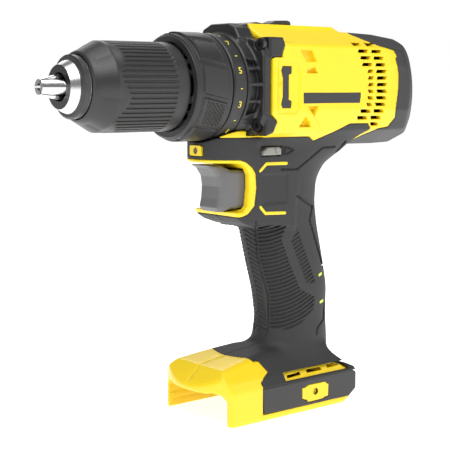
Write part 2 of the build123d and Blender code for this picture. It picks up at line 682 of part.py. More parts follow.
with BuildPart() as armature_windings:
    with BuildSketch(Plane.YZ.offset(ARMATURE_X[0] - WINDING_REACH)):
        with PolarLocations(SLOT_AT, ARMATURE_SLOTS):
            Rectangle(3.8, 2.8)
    extrude(amount=ARMATURE_X[1] - ARMATURE_X[0] + 2 * WINDING_REACH)
    for start in (ARMATURE_X[0] - WINDING_REACH, ARMATURE_X[1] + 0.2):
        with BuildSketch(Plane.YZ.offset(start)):
            Circle(12.8)
            Circle(3.2, mode=Mode.SUBTRACT)
        extrude(amount=WINDING_REACH - 0.2)
armature_windings.part.label = "armature_windings"
export_step(armature_windings.part, "parts/armature_windings.step")

with BuildPart() as commutator:
    with BuildSketch(Plane.YZ.offset(COMMUTATOR_X[0])):
        Circle(COMMUTATOR_R)
        Circle(SHAFT_R, mode=Mode.SUBTRACT)
        with PolarLocations(COMMUTATOR_R, ARMATURE_SLOTS):
            Rectangle(1.2, 0.4, mode=Mode.SUBTRACT)
    extrude(amount=COMMUTATOR_X[1] - COMMUTATOR_X[0])
commutator.part.label = "commutator"
export_step(commutator.part, "parts/commutator.step")

with BuildPart() as motor_end_bell:
    with BuildSketch(Plane.XZ):
        half_section(
            (END_BELL_X[0], 15), (END_BELL_X[0], CAN_R), (END_BELL_X[1] - 1.5, CAN_R),
            (END_BELL_X[1], CAN_R - 1.5), (END_BELL_X[1], SHAFT_R + 0.06),
            (END_BELL_X[1] - 2.5, SHAFT_R + 0.06), (END_BELL_X[1] - 2.5, 15),
        )
    revolve(axis=Axis.X)
motor_end_bell.part.label = "motor_end_bell"
export_step(motor_end_bell.part, "parts/motor_end_bell.step")

with BuildPart() as motor_brushes:
    with BuildSketch(Plane.YZ.offset(BRUSH_X[0])):
        with Locations((9.6, 0), (-9.6, 0)):
            Rectangle(7.8, 4.4)
    extrude(amount=BRUSH_X[1] - BRUSH_X[0])
motor_brushes.part.label = "motor_brushes"
export_step(motor_brushes.part, "parts/motor_brushes.step")

with BuildPart() as cooling_fan:
    with BuildSketch(Plane.YZ.offset(FAN_X[0])):
        Circle(4.5)
        Circle(SHAFT_R, mode=Mode.SUBTRACT)
    extrude(amount=FAN_X[1] - FAN_X[0])
    with BuildSketch(Plane.YZ.offset(FAN_X[1] - 1.2)):
        Circle(FAN_R)
        Circle(3, mode=Mode.SUBTRACT)
    extrude(amount=1.2)
    with BuildSketch(Plane.YZ.offset(FAN_X[0])):
        with PolarLocations(10.4, FAN_BLADES):
            Rectangle(12.8, 1.2, rotation=14)
    extrude(amount=FAN_X[1] - FAN_X[0])
cooling_fan.part.label = "cooling_fan"
export_step(cooling_fan.part, "parts/cooling_fan.step")


# ---- outer masses: each is the same shape set in by a wall ----
def barrel_mass(inset, first=0, end_wall=0.0):
    """The motor barrel and its end, set in by a wall."""
    with BuildPart() as barrel:
        for x, width, height, middle, corner in BARREL_SECTIONS[first:]:
            last = x == BARREL_SECTIONS[-1][0]
            with BuildSketch(Plane.YZ.offset(x - (end_wall if last else 0))):
                with Locations((0, middle)):
                    RectangleRounded(width - 2 * inset, height - 2 * inset, corner - inset)
        loft(ruled=True)
    return barrel.part


def handle_mass(inset):
    """The neck and the handle, down to the foot, set in by a wall."""
    with BuildPart() as handle:
        for z, middle, half_depth, half_width in HANDLE_SECTIONS:
            with BuildSketch(Plane.XY.offset(z)):
                with Locations((middle, 0)):
                    Ellipse(half_depth - inset, half_width - inset)
        loft()
    return handle.part


def head_mass(inset):
    """The block behind and above the trigger, with a rounded nose."""
    with BuildPart() as head:
        with BuildSketch(Plane.XZ):
            outline(HEAD_PROFILE)
            offset(amount=-inset, kind=Kind.INTERSECTION)
        extrude(amount=HEAD_HALF_WIDTH - inset, both=True)
        with BuildSketch(Plane.XY.offset(-75)):
            with Locations((77 + inset + 50, 0)):
                RectangleRounded(100, 2 * (HEAD_HALF_WIDTH - inset), 15 - inset)
        extrude(amount=60, mode=Mode.INTERSECT)
    return head.part


def screw_columns(radius):
    """Columns across the tool where the clamp screws run."""
    with BuildPart() as columns:
        with BuildSketch(Plane.XZ):
            with Locations(*[(x, z) for x, z, seat in CLAMP_SCREWS]):
                Circle(radius)
        extrude(amount=FOOT_HALF_WIDTH, both=True)
    return columns.part


outer_masses = (barrel_mass(0), handle_mass(0), head_mass(0))
middle_masses = (barrel_mass(SKIN), handle_mass(SKIN), head_mass(SKIN))
inner_masses = (barrel_mass(WALL), handle_mass(WALL), head_mass(WALL))
columns = screw_columns(BOSS_R)

# the region behind the seam of the end cap, and the region of the soft grip
CAP_REGION = CAP_LINE + ((230.0, -40.0), (230.0, 40.0))
GRIP_REGION = GRIP_LINE + ((200.0, -136.0), (70.0, -136.0))

with BuildPart() as inner_void:
    add(inner_masses)
    add(columns, mode=Mode.SUBTRACT)
    with BuildSketch(Plane.YZ.offset(EAR_X[1])):
        with Locations(*EARS):
            Circle(BOSS_R + 0.4)
    extrude(amount=14, mode=Mode.SUBTRACT)
    for rib in MOTOR_RIBS:
        with BuildSketch(Plane.YZ.offset(rib)):
            Rectangle(70, 2 * 24.5)
            Circle(CAN_R + 0.1, mode=Mode.SUBTRACT)
        extrude(amount=RIB_WIDTH, mode=Mode.SUBTRACT)

with BuildPart() as cut_outs:
    with BuildSketch(Plane.YZ.offset(40)):
        Circle(HEAD_SADDLE_R)
    extrude(amount=BARREL_FRONT - 40)
    with BuildSketch(Plane.YZ.offset(FLANGE_X - CLEAR)):
        RectangleRounded(FLANGE_SIZE[0] + 2 * CLEAR, FLANGE_SIZE[1] + 2 * CLEAR, 14)
    extrude(amount=BARREL_FRONT - FLANGE_X + CLEAR)
    with BuildSketch(Plane.YZ.offset(BARREL_FRONT - 3)):
        with Locations(*EARS):
            Circle(EAR_R + 0.3)
    extrude(amount=EAR_X[1] + 0.1 - BARREL_FRONT + 3)
    with BuildSketch(Plane.XY.offset(-60.4)):
        with Locations((107, 0)):
            Rectangle(26, 2 * TRIGGER_HALF_WIDTH + 0.6)
    extrude(amount=20.4)
    with BuildSketch(Plane.XZ):
        with Locations((sum(LEVER_X) / 2, sum(LEVER_Z) / 2)):
            Rectangle(LEVER_X[1] - LEVER_X[0] + 0.6, LEVER_Z[1] - LEVER_Z[0] + 0.6)
    extrude(amount=30, both=True)
    with BuildSketch(Plane.XY.offset(24)):
        with Locations((KNOB_SLOT_AT, 0)):
            Rectangle(*KNOB_SLOT)
    extrude(amount=12)
    with BuildSketch(Plane.YZ.offset(70)):
        with Locations(LIGHT_AT):
            Rectangle(LIGHT_SIZE[0] + 0.2, LIGHT_SIZE[1] + 0.2)
    extrude(amount=12)
    with BuildSketch(Plane.YZ.offset(EAR_X[1])):
        with Locations(*EARS):
            Circle(SCREW_R + 0.05)
    extrude(amount=12)
    for x, z, seat in CLAMP_SCREWS:
        with BuildSketch(Plane(origin=(x, -10, z), z_dir=(0, 1, 0))):
            Circle(SCREW_R + 0.05)
        extrude(amount=40)
        with BuildSketch(Plane(origin=(x, seat, z), z_dir=(0, 1, 0))):
            Circle(SCREW_HEAD_R + 0.2)
        extrude(amount=20)

with BuildPart() as foot_block:
    with BuildSketch(Plane.XZ):
        outline(FOOT_PROFILE)
    extrude(amount=FOOT_HALF_WIDTH, both=True)
    with BuildSketch(Plane.XY.offset(-170)):
        with BuildLine():
            ThreePointArc(
                (FOOT_FRONT, -FOOT_HALF_WIDTH), (FOOT_LIP, 0), (FOOT_FRONT, FOOT_HALF_WIDTH)
            )
            Polyline(
                (FOOT_FRONT, FOOT_HALF_WIDTH), (170, FOOT_HALF_WIDTH),
                (170, -FOOT_HALF_WIDTH), (FOOT_FRONT, -FOOT_HALF_WIDTH),
            )
        make_face()
    extrude(amount=50, mode=Mode.INTERSECT)
    shoulder_y = FOOT_HALF_WIDTH - 9
    for side in (-1, 1):
        with BuildSketch(Plane.YZ.offset(60)):
            outline(
                [
                    (side * shoulder_y, -132), (side * (shoulder_y + 2), -137),
                    (side * FOOT_HALF_WIDTH, -147), (side * 40, -147), (side * 40, -132),
                ]
            )
        extrude(amount=110, mode=Mode.SUBTRACT)

with BuildPart() as bay:
    with BuildSketch(Plane.YZ.offset(60)):
        outline(
            [
                (-BAY_HALF_WIDTH, -170), (-BAY_HALF_WIDTH, BAY_TOP - 3),
                (3 - BAY_HALF_WIDTH, BAY_TOP), (BAY_HALF_WIDTH - 3, BAY_TOP),
                (BAY_HALF_WIDTH, BAY_TOP - 3), (BAY_HALF_WIDTH, -170),
            ]
        )
    extrude(amount=BAY_END - 60)
    with BuildSketch(Plane.YZ.offset(RAIL_X[0])):
        with Locations((-BAY_HALF_WIDTH, sum(RAIL_Z) / 2), (BAY_HALF_WIDTH, sum(RAIL_Z) / 2)):
            Rectangle(2 * RAIL_REACH, RAIL_Z[1] - RAIL_Z[0])
    extrude(amount=RAIL_X[1] - RAIL_X[0], mode=Mode.SUBTRACT)
    with BuildSketch(Plane.XY.offset(-152)):
        with Locations((138, 0)):
            RectangleRounded(24, 20, 4)
    extrude(amount=22)

with BuildPart() as panel_pockets:
    with BuildSketch(Plane.XZ):
        with Locations((sum(PANEL_X) / 2, sum(PANEL_Z) / 2)):
            RectangleRounded(PANEL_X[1] - PANEL_X[0], PANEL_Z[1] - PANEL_Z[0], 2)
    extrude(amount=FOOT_HALF_WIDTH + 1, both=True)
    with BuildSketch(Plane.XZ):
        with Locations((130, -155)):
            Rectangle(100, 60)
    extrude(amount=FOOT_HALF_WIDTH - PANEL_DEPTH, both=True, mode=Mode.SUBTRACT)

# ---- housing halves and the soft grip moulded on them ----
with BuildPart() as grip_both:
    add(outer_masses)
    add(middle_masses, mode=Mode.SUBTRACT)
    add(foot_block.part, mode=Mode.SUBTRACT)
    with BuildSketch(Plane.XZ):
        outline(GRIP_REGION)
    extrude(amount=40, both=True, mode=Mode.INTERSECT)
    with BuildSketch(Plane.XZ):
        outline(BAND_INNER + BAND_OUTER)
    extrude(amount=30, both=True, mode=Mode.SUBTRACT)
    add(cut_outs.part, mode=Mode.SUBTRACT)

with BuildPart() as housing_both:
    add(outer_masses)
    with BuildSketch(Plane.XZ):
        outline(CAP_REGION)
    extrude(amount=40, both=True, mode=Mode.SUBTRACT)
    add(foot_block.part)
    add(grip_both.part, mode=Mode.SUBTRACT)
    add(inner_void.part, mode=Mode.SUBTRACT)
    add(bay.part, mode=Mode.SUBTRACT)
    add(panel_pockets.part, mode=Mode.SUBTRACT)
    add(cut_outs.part, mode=Mode.SUBTRACT)
    with BuildSketch(Plane.XZ):
        with Locations(PAD_AT):
            Circle(INSERT_R[1] + 0.02)
    extrude(amount=FOOT_HALF_WIDTH, both=True, mode=Mode.SUBTRACT)

for side, keep in (("left", Keep.TOP), ("right", Keep.BOTTOM)):
    with BuildPart() as housing:
        add(housing_both.part)
        split(bisect_by=Plane.XZ, keep=keep)
    housing.part.label = f"housing_{side}"
    export_step(housing.part, f"parts/housing_{side}.step")

    with BuildPart() as grip:
        add(grip_both.part)
        split(bisect_by=Plane.XZ, keep=keep)
    grip.part.label = f"grip_{side}"
    export_step(grip.part, f"parts/grip_{side}.step")

with BuildPart() as end_cap:
    add(barrel_mass(0, 1))
    with BuildSketch(Plane.XZ):
        with Locations((CAP_GAP, 0)):
            outline(CAP_REGION)
    extrude(amount=40, both=True, mode=Mode.INTERSECT)
    add(barrel_mass(WALL, 1, 3.0), mode=Mode.SUBTRACT)
end_cap.part.label = "end_cap"
export_step(end_cap.part, "parts/end_cap.step")

# ---- foot panels, accessory pads and their threaded inserts ----
def foot_side(sign):
    """The plane at the bottom of the panel pocket on one side of the foot."""
    depth = FOOT_HALF_WIDTH - PANEL_DEPTH
    return Plane(origin=(0, sign * depth, 0), x_dir=(1, 0, 0), z_dir=(0, sign, 0))


with BuildPart() as foot_panels:
    for sign in (-1, 1):
        with BuildSketch(foot_side(sign)):
            with Locations((sum(PANEL_X) / 2, -sign * sum(PANEL_Z) / 2)):
                RectangleRounded(PANEL_X[1] - PANEL_X[0], PANEL_Z[1] - PANEL_Z[0], 2)
            with Locations((PAD_AT[0], -sign * PAD_AT[1])):
                RectangleRounded(PAD_SIZE[0], PAD_SIZE[1], 1.2, mode=Mode.SUBTRACT)
        extrude(amount=PANEL_DEPTH)
foot_panels.part.label = "foot_panels"
export_step(foot_panels.part, "parts/foot_panels.step")

with BuildPart() as accessory_pads:
    for sign in (-1, 1):
        with BuildSketch(foot_side(sign)):
            with Locations((PAD_AT[0], -sign * PAD_AT[1])):
                RectangleRounded(PAD_SIZE[0], PAD_SIZE[1], 1.2)
                Circle(INSERT_R[1] + 0.02, mode=Mode.SUBTRACT)
        extrude(amount=PANEL_DEPTH)
accessory_pads.part.label = "accessory_pads"
export_step(accessory_pads.part, "parts/accessory_pads.step")

with BuildPart() as accessory_inserts:
    for sign in (-1, 1):
        with BuildSketch(Plane(origin=(PAD_AT[0], sign * BAY_HALF_WIDTH, PAD_AT[1]), z_dir=(0, sign, 0))):
            Circle(INSERT_R[1])
            Circle(INSERT_R[0], mode=Mode.SUBTRACT)
        extrude(amount=FOOT_HALF_WIDTH - BAY_HALF_WIDTH - 0.1)
accessory_inserts.part.label = "accessory_inserts"
export_step(accessory_inserts.part, "parts/accessory_inserts.step")

with BuildPart() as housing_screws:
    with BuildSketch(Plane.YZ.offset(EAR_X[0] - SCREW_HEAD_H)):
        with Locations(*EARS):
            Circle(SCREW_HEAD_R)
    extrude(amount=SCREW_HEAD_H)
    with BuildSketch(Plane.YZ.offset(EAR_X[0])):
        with Locations(*EARS):
            Circle(SCREW_R)
    extrude(amount=EAR_SCREW_LENGTH)
    with BuildSketch(Plane.YZ.offset(EAR_X[0] - SCREW_HEAD_H)):
        with Locations(*EARS):
            RegularPolygon(1.6, 6)
    extrude(amount=1.2, mode=Mode.SUBTRACT)
    for x, z, seat in CLAMP_SCREWS:
        with BuildSketch(Plane(origin=(x, seat, z), z_dir=(0, 1, 0))):
            Circle(SCREW_HEAD_R)
        extrude(amount=SCREW_HEAD_H)
        with BuildSketch(Plane(origin=(x, -8, z), z_dir=(0, 1, 0))):
            Circle(SCREW_R)
        extrude(amount=seat + 8)
housing_screws.part.label = "housing_screws"
export_step(housing_screws.part, "parts/housing_screws.step")

# ---- trigger, switch, direction lever and speed selector ----
with BuildPart() as trigger:
    with BuildSketch(Plane.XZ):
        outline(TRIGGER_PROFILE)
    extrude(amount=TRIGGER_HALF_WIDTH, both=True)
    with BuildSketch(Plane.YZ.offset(TRIGGER_PROFILE[9][0])):
        with Locations((0, PLUNGER_Z)):
            Circle(PLUNGER_R)
    extrude(amount=SWITCH_X[0] + 2 - TRIGGER_PROFILE[9][0])
trigger.part.label = "trigger"
export_step(trigger.part, "parts/trigger.step")

with BuildPart() as switch_module:
    with BuildSketch(Plane.XZ):
        outline(
            [
                (SWITCH_X[0], SWITCH_Z[0]), (SWITCH_X[1], SWITCH_Z[0]),
                (SWITCH_X[1], SWITCH_Z[1] - 3), (SWITCH_X[1] - 3, SWITCH_Z[1]),
                (SWITCH_X[0], SWITCH_Z[1]),
            ]
        )
    extrude(amount=SWITCH_HALF_WIDTH, both=True)
    with BuildSketch(Plane.YZ.offset(SWITCH_X[0])):
        with Locations((0, PLUNGER_Z)):
            Circle(PLUNGER_R + 0.1)
    extrude(amount=TRIGGER_TRAVEL + 4, mode=Mode.SUBTRACT)
switch_module.part.label = "switch_module"
export_step(switch_module.part, "parts/switch_module.step")

with BuildPart() as direction_lever:
    with BuildSketch(Plane.XZ):
        with Locations((sum(LEVER_X) / 2, sum(LEVER_Z) / 2)):
            Rectangle(LEVER_X[1] - LEVER_X[0], LEVER_Z[1] - LEVER_Z[0])
    extrude(amount=LEVER_HALF_LENGTH, both=True)
    with BuildSketch(Plane.XZ):
        with Locations((113, LEVER_Z[0] - 2)):
            Rectangle(4, 4.4)
    extrude(amount=2, both=True)
direction_lever.part.label = "direction_lever"
export_step(direction_lever.part, "parts/direction_lever.step")

FORK_X = (101.9, 133.2)
FORK_Z = (25.3, 26.9)
FINGER_Z = 22.1
with BuildPart() as speed_selector:
    with BuildSketch(Plane.XZ):
        outline(
            [
                (KNOB_X[0], KNOB_Z[0]), (KNOB_X[0] + 3, KNOB_Z[1] - 0.3),
                (KNOB_X[1] - 4, KNOB_Z[1]), (KNOB_X[1] - 0.6, KNOB_Z[1] - 0.4),
                (KNOB_X[1], KNOB_Z[0]),
            ]
        )
    extrude(amount=KNOB_HALF_WIDTH, both=True)
    with BuildSketch(Plane.XY.offset(FORK_Z[1])):
        with Locations((KNOB_STEM_AT, 0)):
            Rectangle(*KNOB_STEM)
    extrude(amount=KNOB_Z[0] - FORK_Z[1])
speed_selector.part.label = "speed_selector"
export_step(speed_selector.part, "parts/speed_selector.step")

with BuildPart() as shift_fork:
    with BuildSketch(Plane.XY.offset(FORK_Z[0])):
        with Locations((sum(FORK_X) / 2, 0)):
            Rectangle(FORK_X[1] - FORK_X[0], 10)
    extrude(amount=FORK_Z[1] - FORK_Z[0])
    with BuildSketch(Plane.XY.offset(FINGER_Z)):
        with Locations((FORK_X[0] + 0.8, 0)):
            Rectangle(1.4, 3)
    extrude(amount=FORK_Z[0] - FINGER_Z)
shift_fork.part.label = "shift_fork"
export_step(shift_fork.part, "parts/shift_fork.step")

# ---- work light in the nose of the head ----
LED_R = 1.6
with BuildPart() as work_light_bezel:
    with BuildSketch(Plane.YZ.offset(LIGHT_X[0])):
        with Locations(LIGHT_AT):
            RectangleRounded(*LIGHT_SIZE, 1)
            Circle(LED_R + 0.1, mode=Mode.SUBTRACT)
    extrude(amount=LIGHT_X[1] - LIGHT_X[0])
work_light_bezel.part.label = "work_light_bezel"
export_step(work_light_bezel.part, "parts/work_light_bezel.step")

with BuildPart() as work_light_led:
    with BuildSketch(Plane.YZ.offset(LIGHT_X[0] + 0.4)):
        with Locations(LIGHT_AT):
            Circle(LED_R)
    extrude(amount=5)
work_light_led.part.label = "work_light_led"
export_step(work_light_led.part, "parts/work_light_led.step")

# ---- battery terminals and the leads inside the handle ----
BLOCK_X = (112.0, 149.8)
BLOCK_Z = -156.0
TERMINAL_Y = (-10.0, 0.0, 10.0)
TERMINAL_X = (104.0, 123.0)
with BuildPart() as terminal_block:
    with BuildSketch(Plane.YZ.offset(BLOCK_X[0])):
        with Locations((0, BLOCK_Z)):
            RectangleRounded(30, 10, 1.5)
    extrude(amount=BLOCK_X[1] - BLOCK_X[0])
    with BuildSketch(Plane.YZ.offset(BLOCK_X[0])):
        with Locations(*[(y, BLOCK_Z) for y in TERMINAL_Y]):
            Rectangle(1.2, 7)
    extrude(amount=TERMINAL_X[1] + 1 - BLOCK_X[0], mode=Mode.SUBTRACT)
terminal_block.part.label = "terminal_block"
export_step(terminal_block.part, "parts/terminal_block.step")

with BuildPart() as battery_terminals:
    with BuildSketch(Plane.YZ.offset(TERMINAL_X[0])):
        with Locations(*[(y, BLOCK_Z) for y in TERMINAL_Y]):
            Rectangle(0.8, 6.4)
    extrude(amount=TERMINAL_X[1] - TERMINAL_X[0])
battery_terminals.part.label = "battery_terminals"
export_step(battery_terminals.part, "parts/battery_terminals.step")


def lead(points, radii):
    """One insulated lead that follows its route with smooth bends."""
    with BuildPart() as wire:
        with BuildLine() as route:
            FilletPolyline(*points, radius=radii)
        with BuildSketch(route.line ^ 0):
            Circle(LEAD_R)
        sweep()
    return wire.part


BATTERY_LEAD = (
    (136, -150.8), (139, -134), (139, -118), (136, -100), (132, -82), (130, SWITCH_Z[0] - 0.2),
)
BATTERY_BENDS = (30, 40, 60, 60)
MOTOR_LEAD = (
    (SWITCH_X[1] + 0.7, PLUNGER_Z), (148.5, -46), (154, -38), (160.5, -28.5), (164, -19.8),
)
MOTOR_BENDS = (9, 15, 15)

with BuildPart() as internal_leads:
    for y in (-4, 4):
        add(lead([(x, y, z) for x, z in BATTERY_LEAD], BATTERY_BENDS))
        add(lead([(x, 1.25 * y, z) for x, z in MOTOR_LEAD], MOTOR_BENDS))
internal_leads.part.label = "internal_leads"
export_step(internal_leads.part, "parts/internal_leads.step")
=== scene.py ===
import bpy
import math
import numpy as np
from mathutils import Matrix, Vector


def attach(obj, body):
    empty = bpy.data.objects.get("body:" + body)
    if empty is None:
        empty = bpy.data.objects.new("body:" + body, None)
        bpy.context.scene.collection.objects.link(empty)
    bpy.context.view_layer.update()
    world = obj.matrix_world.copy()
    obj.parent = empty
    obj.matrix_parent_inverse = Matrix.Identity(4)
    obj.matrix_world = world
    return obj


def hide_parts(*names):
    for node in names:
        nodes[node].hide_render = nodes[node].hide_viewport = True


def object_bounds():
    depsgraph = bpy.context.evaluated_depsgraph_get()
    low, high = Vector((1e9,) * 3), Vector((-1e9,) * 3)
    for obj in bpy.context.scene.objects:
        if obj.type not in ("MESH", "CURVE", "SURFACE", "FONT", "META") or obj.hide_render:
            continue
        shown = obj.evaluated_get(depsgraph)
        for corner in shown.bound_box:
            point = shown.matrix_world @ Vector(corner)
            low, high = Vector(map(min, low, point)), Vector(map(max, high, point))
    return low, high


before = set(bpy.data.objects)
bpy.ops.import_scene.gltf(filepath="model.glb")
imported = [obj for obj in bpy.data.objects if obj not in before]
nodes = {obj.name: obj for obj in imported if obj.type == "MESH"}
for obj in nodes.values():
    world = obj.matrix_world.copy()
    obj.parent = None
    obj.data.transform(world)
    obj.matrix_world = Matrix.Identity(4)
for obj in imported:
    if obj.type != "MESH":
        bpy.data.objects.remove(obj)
cad_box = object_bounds()

# The spindle runs along X with the chuck towards -X. The handle hangs along -Z and the left side is -Y.
# Sizes are in millimetres until a mesh is finished, and MM turns them into metres.
MM = 0.001


# ---- Chuck body, jaws, clamping nut and centre screw ----
# The body is turned from steel bar, the three jaws are ground from hardened rod and slide in
# slanted bores. The front ring is a pressed plastic dust guard, and a hex screw holds the chuck on.
STEEL = (0.62, 0.62, 0.63)
DARK_STEEL = (0.10, 0.10, 0.105)
GUARD_BLACK = (0.018, 0.018, 0.019)


def add_node(tree, kind, **sockets):
    """A shader node with its sockets set by value or linked, by socket name or number."""
    node = tree.nodes.new(kind)
    for key, value in sockets.items():
        place = int(key[1:]) if key[0] == "n" and key[1:].isdigit() else key.replace("_", " ")
        if isinstance(value, bpy.types.NodeSocket):
            tree.links.new(value, node.inputs[place])
        else:
            node.inputs[place].default_value = value
    return node


def finish_of(name, colour, roughness, metal=0.0, grain=0.25, bump=0.12, shade=0.12, edge_highlight=0.25, coat=0.0):
    """A solid finish: cloudy colour, fine grain in the bump, and a painted highlight that lightens convex edges.
    Grain is in mm.
    """
    material = bpy.data.materials.new(name)
    material.use_nodes = True
    tree = material.node_tree
    shader = tree.nodes["Principled BSDF"]
    place = tree.nodes.new("ShaderNodeTexCoord").outputs["Object"]
    cloud = add_node(tree, "ShaderNodeTexNoise", Vector=place, Scale=60.0, Detail=4.0)
    speck = add_node(tree, "ShaderNodeTexNoise", Vector=place, Scale=1 / (grain * MM), Detail=2.0)
    # Painted highlight along the edges: where pointiness is high, the colour is lightened towards a pale copy of
    # itself, up to the given amount.
    edge = tree.nodes.new("ShaderNodeNewGeometry").outputs["Pointiness"]
    edge_highlight_mask = tree.nodes.new("ShaderNodeMapRange")
    tree.links.new(edge, edge_highlight_mask.inputs["Value"])
    edge_highlight_mask.inputs["From Min"].default_value = 0.53
    edge_highlight_mask.inputs["From Max"].default_value = 0.64
    edge_highlight_mask.inputs["To Max"].default_value = edge_highlight
    tint = tree.nodes.new("ShaderNodeMix")
    tint.data_type = "RGBA"
    tint.inputs["A"].default_value = (*[c * (1 - shade) for c in colour], 1)
    tint.inputs["B"].default_value = (*[min(1, c * (1 + shade)) for c in colour], 1)
    tree.links.new(cloud.outputs["Fac"], tint.inputs["Factor"])
    # The painted edge highlight is mixed over the cloudy colour here.
    with_edge_highlight = tree.nodes.new("ShaderNodeMix")
    with_edge_highlight.data_type = "RGBA"
    with_edge_highlight.inputs["B"].default_value = (*[min(1, 0.08 + c * 1.5) for c in colour], 1)
    tree.links.new(edge_highlight_mask.outputs["Result"], with_edge_highlight.inputs["Factor"])
    tree.links.new(tint.outputs["Result"], with_edge_highlight.inputs["A"])
    tree.links.new(with_edge_highlight.outputs["Result"], shader.inputs["Base Color"])
    gloss = tree.nodes.new("ShaderNodeMapRange")
    tree.links.new(speck.outputs["Fac"], gloss.inputs["Value"])
    gloss.inputs["To Min"].default_value = roughness * 0.82
    gloss.inputs["To Max"].default_value = min(1, roughness * 1.18)
    tree.links.new(gloss.outputs["Result"], shader.inputs["Roughness"])
    relief = add_node(tree, "ShaderNodeBump", Height=speck.outputs["Fac"], Strength=bump)
    relief.inputs["Distance"].default_value = 0.05 * MM
    tree.links.new(relief.outputs["Normal"], shader.inputs["Normal"])
    shader.inputs["Metallic"].default_value = metal
    shader.inputs["Coat Weight"].default_value = coat
    return material


def give(material, slot, *names):
    """Puts a finish on CAD nodes that keep their own shape."""
    for name in names:
        piece = nodes[name]
        piece.data.materials.clear()
        piece.data.materials.append(material)


def face_paint(material, colour, axis, limit, above, spread=0.02):
    """Paints one end of a piece: where the place along an axis is past a limit in mm."""
    tree = material.node_tree
    shader = tree.nodes["Principled BSDF"]
    place = tree.nodes.new("ShaderNodeTexCoord").outputs["Object"]
    parts = add_node(tree, "ShaderNodeSeparateXYZ", Vector=place)
    past = tree.nodes.new("ShaderNodeMapRange")
    tree.links.new(parts.outputs[axis], past.inputs["Value"])
    past.inputs["From Min"].default_value = (limit - spread) * MM
    past.inputs["From Max"].default_value = (limit + spread) * MM
    past.inputs["To Min"].default_value = 0.0 if above else 1.0
    past.inputs["To Max"].default_value = 1.0 if above else 0.0
    paint = tree.nodes.new("ShaderNodeMix")
    paint.data_type = "RGBA"
    paint.inputs["B"].default_value = (*colour, 1)
    tree.links.new(past.outputs["Result"], paint.inputs["Factor"])
    tree.links.new(shader.inputs["Base Color"].links[0].from_socket, paint.inputs["A"])
    tree.links.new(paint.outputs["Result"], shader.inputs["Base Color"])


nose_steel = finish_of("turned_steel", STEEL, 0.24, metal=1.0, grain=0.6, bump=0.05, shade=0.05, edge_highlight=0.1)
face_paint(nose_steel, DARK_STEEL, "X", 0.05, above=False)
jaw_steel = finish_of("ground_steel", STEEL, 0.16, metal=1.0, grain=0.8, bump=0.04, shade=0.04, edge_highlight=0.1)
give(nose_steel, "chuck_steel", "chuck_body")
give(jaw_steel, "chuck_steel", "chuck_jaw_1", "chuck_jaw_2", "chuck_jaw_3", "chuck_nut", "spindle")
guard_black = finish_of("guard_black", GUARD_BLACK, 0.36, grain=0.3)
give(guard_black, "case_black", "chuck_front_ring")
screw_steel = finish_of("zinc_plated_screws", (0.30, 0.29, 0.27), 0.34, metal=1.0, grain=0.3)
give(screw_steel, "screw_steel", "chuck_screw")


# ---- Chuck sleeve ----
# One moulding of glass-filled nylon that the hand turns to open the jaws. Its cone has shallow
# flats, and fine axial grooves round the waist leave a plain band at the rear.
SLEEVE_FRONT, SLEEVE_WAIST, SLEEVE_REAR = 8.5, 18.5, 58.5
SLEEVE_FRONT_R, SLEEVE_WAIST_R = 15.6, 21.15
SLEEVE_GROOVES = 54
GROOVE_DEPTH = 0.75
SLEEVE_FLATS = 6
TURN_STEPS = 648


def ramp(value, start, end):
    """Rises smoothly from 0 at start to 1 at end."""
    t = np.clip((value - start) / (end - start), 0, 1)
    return t * t * (3 - 2 * t)


def mesh_of(name, points, faces, material, body):
    """A piece from points in mm, with its finish and the body that it moves with."""
    mesh = bpy.data.meshes.new(name)
    mesh.from_pydata((np.asarray(points) * MM).tolist(), [], np.asarray(faces).tolist())
    mesh.validate()
    mesh.materials.append(material)
    mesh.shade_smooth()
    piece = bpy.data.objects.new(name, mesh)
    bpy.context.scene.collection.objects.link(piece)
    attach(piece, body)
    return piece


def turned(name, stations, radius, bore, material, body, steps=TURN_STEPS):
    """A closed turned piece: radius(x, angle) outside, and a bore of (x, radius) points from rear to front."""
    angle = np.arange(steps) * 2 * math.pi / steps
    rings = [(x, radius(x, angle) + 0 * angle) for x in stations]
    rings += [(x, r + 0 * angle) for x, r in bore]
    points = np.concatenate([
        np.stack([x + 0 * angle, -r * np.cos(angle), r * np.sin(angle)], -1) for x, r in rings
    ])
    ring, step = np.meshgrid(np.arange(len(rings)), np.arange(steps), indexing="ij")
    after, beside = (ring + 1) % len(rings), (step + 1) % steps
    faces = np.stack([ring * steps + step, after * steps + step, after * steps + beside,
                      ring * steps + beside], -1).reshape(-1, 4)
    piece = mesh_of(name, points, faces, material, body)
    piece.data.set_sharp_from_angle(angle=math.radians(32))
    return piece


def sleeve_radius(x, angle):
    cone = SLEEVE_FRONT_R + (SLEEVE_WAIST_R - SLEEVE_FRONT_R) * np.clip(
        (x - SLEEVE_FRONT) / (SLEEVE_WAIST - SLEEVE_FRONT), 0, 1)
    flat = 2 * math.pi / SLEEVE_FLATS
    off = (angle + flat / 4) % flat - flat / 2
    cut = (1 - np.cos(off)) * ramp(x, 10, 13) * (1 - ramp(x, 19, 24))
    cone = cone - cut * 5.5
    wave = 0.5 + 0.5 * np.cos(angle * SLEEVE_GROOVES)
    start = 22.5 - 2.2 * np.cos(off * SLEEVE_FLATS)
    tooth = np.clip((wave - 0.45) / 0.35, 0, 1) * ramp(x, start, start + 1.2) * (1 - ramp(x, 50.6, 51.4))
    rear = 0.7 * ramp(x, SLEEVE_REAR - 1.0, SLEEVE_REAR)
    lip = 0.5 * (1 - ramp(x, SLEEVE_FRONT, SLEEVE_FRONT + 0.7))
    return cone - GROOVE_DEPTH * tooth - rear - lip


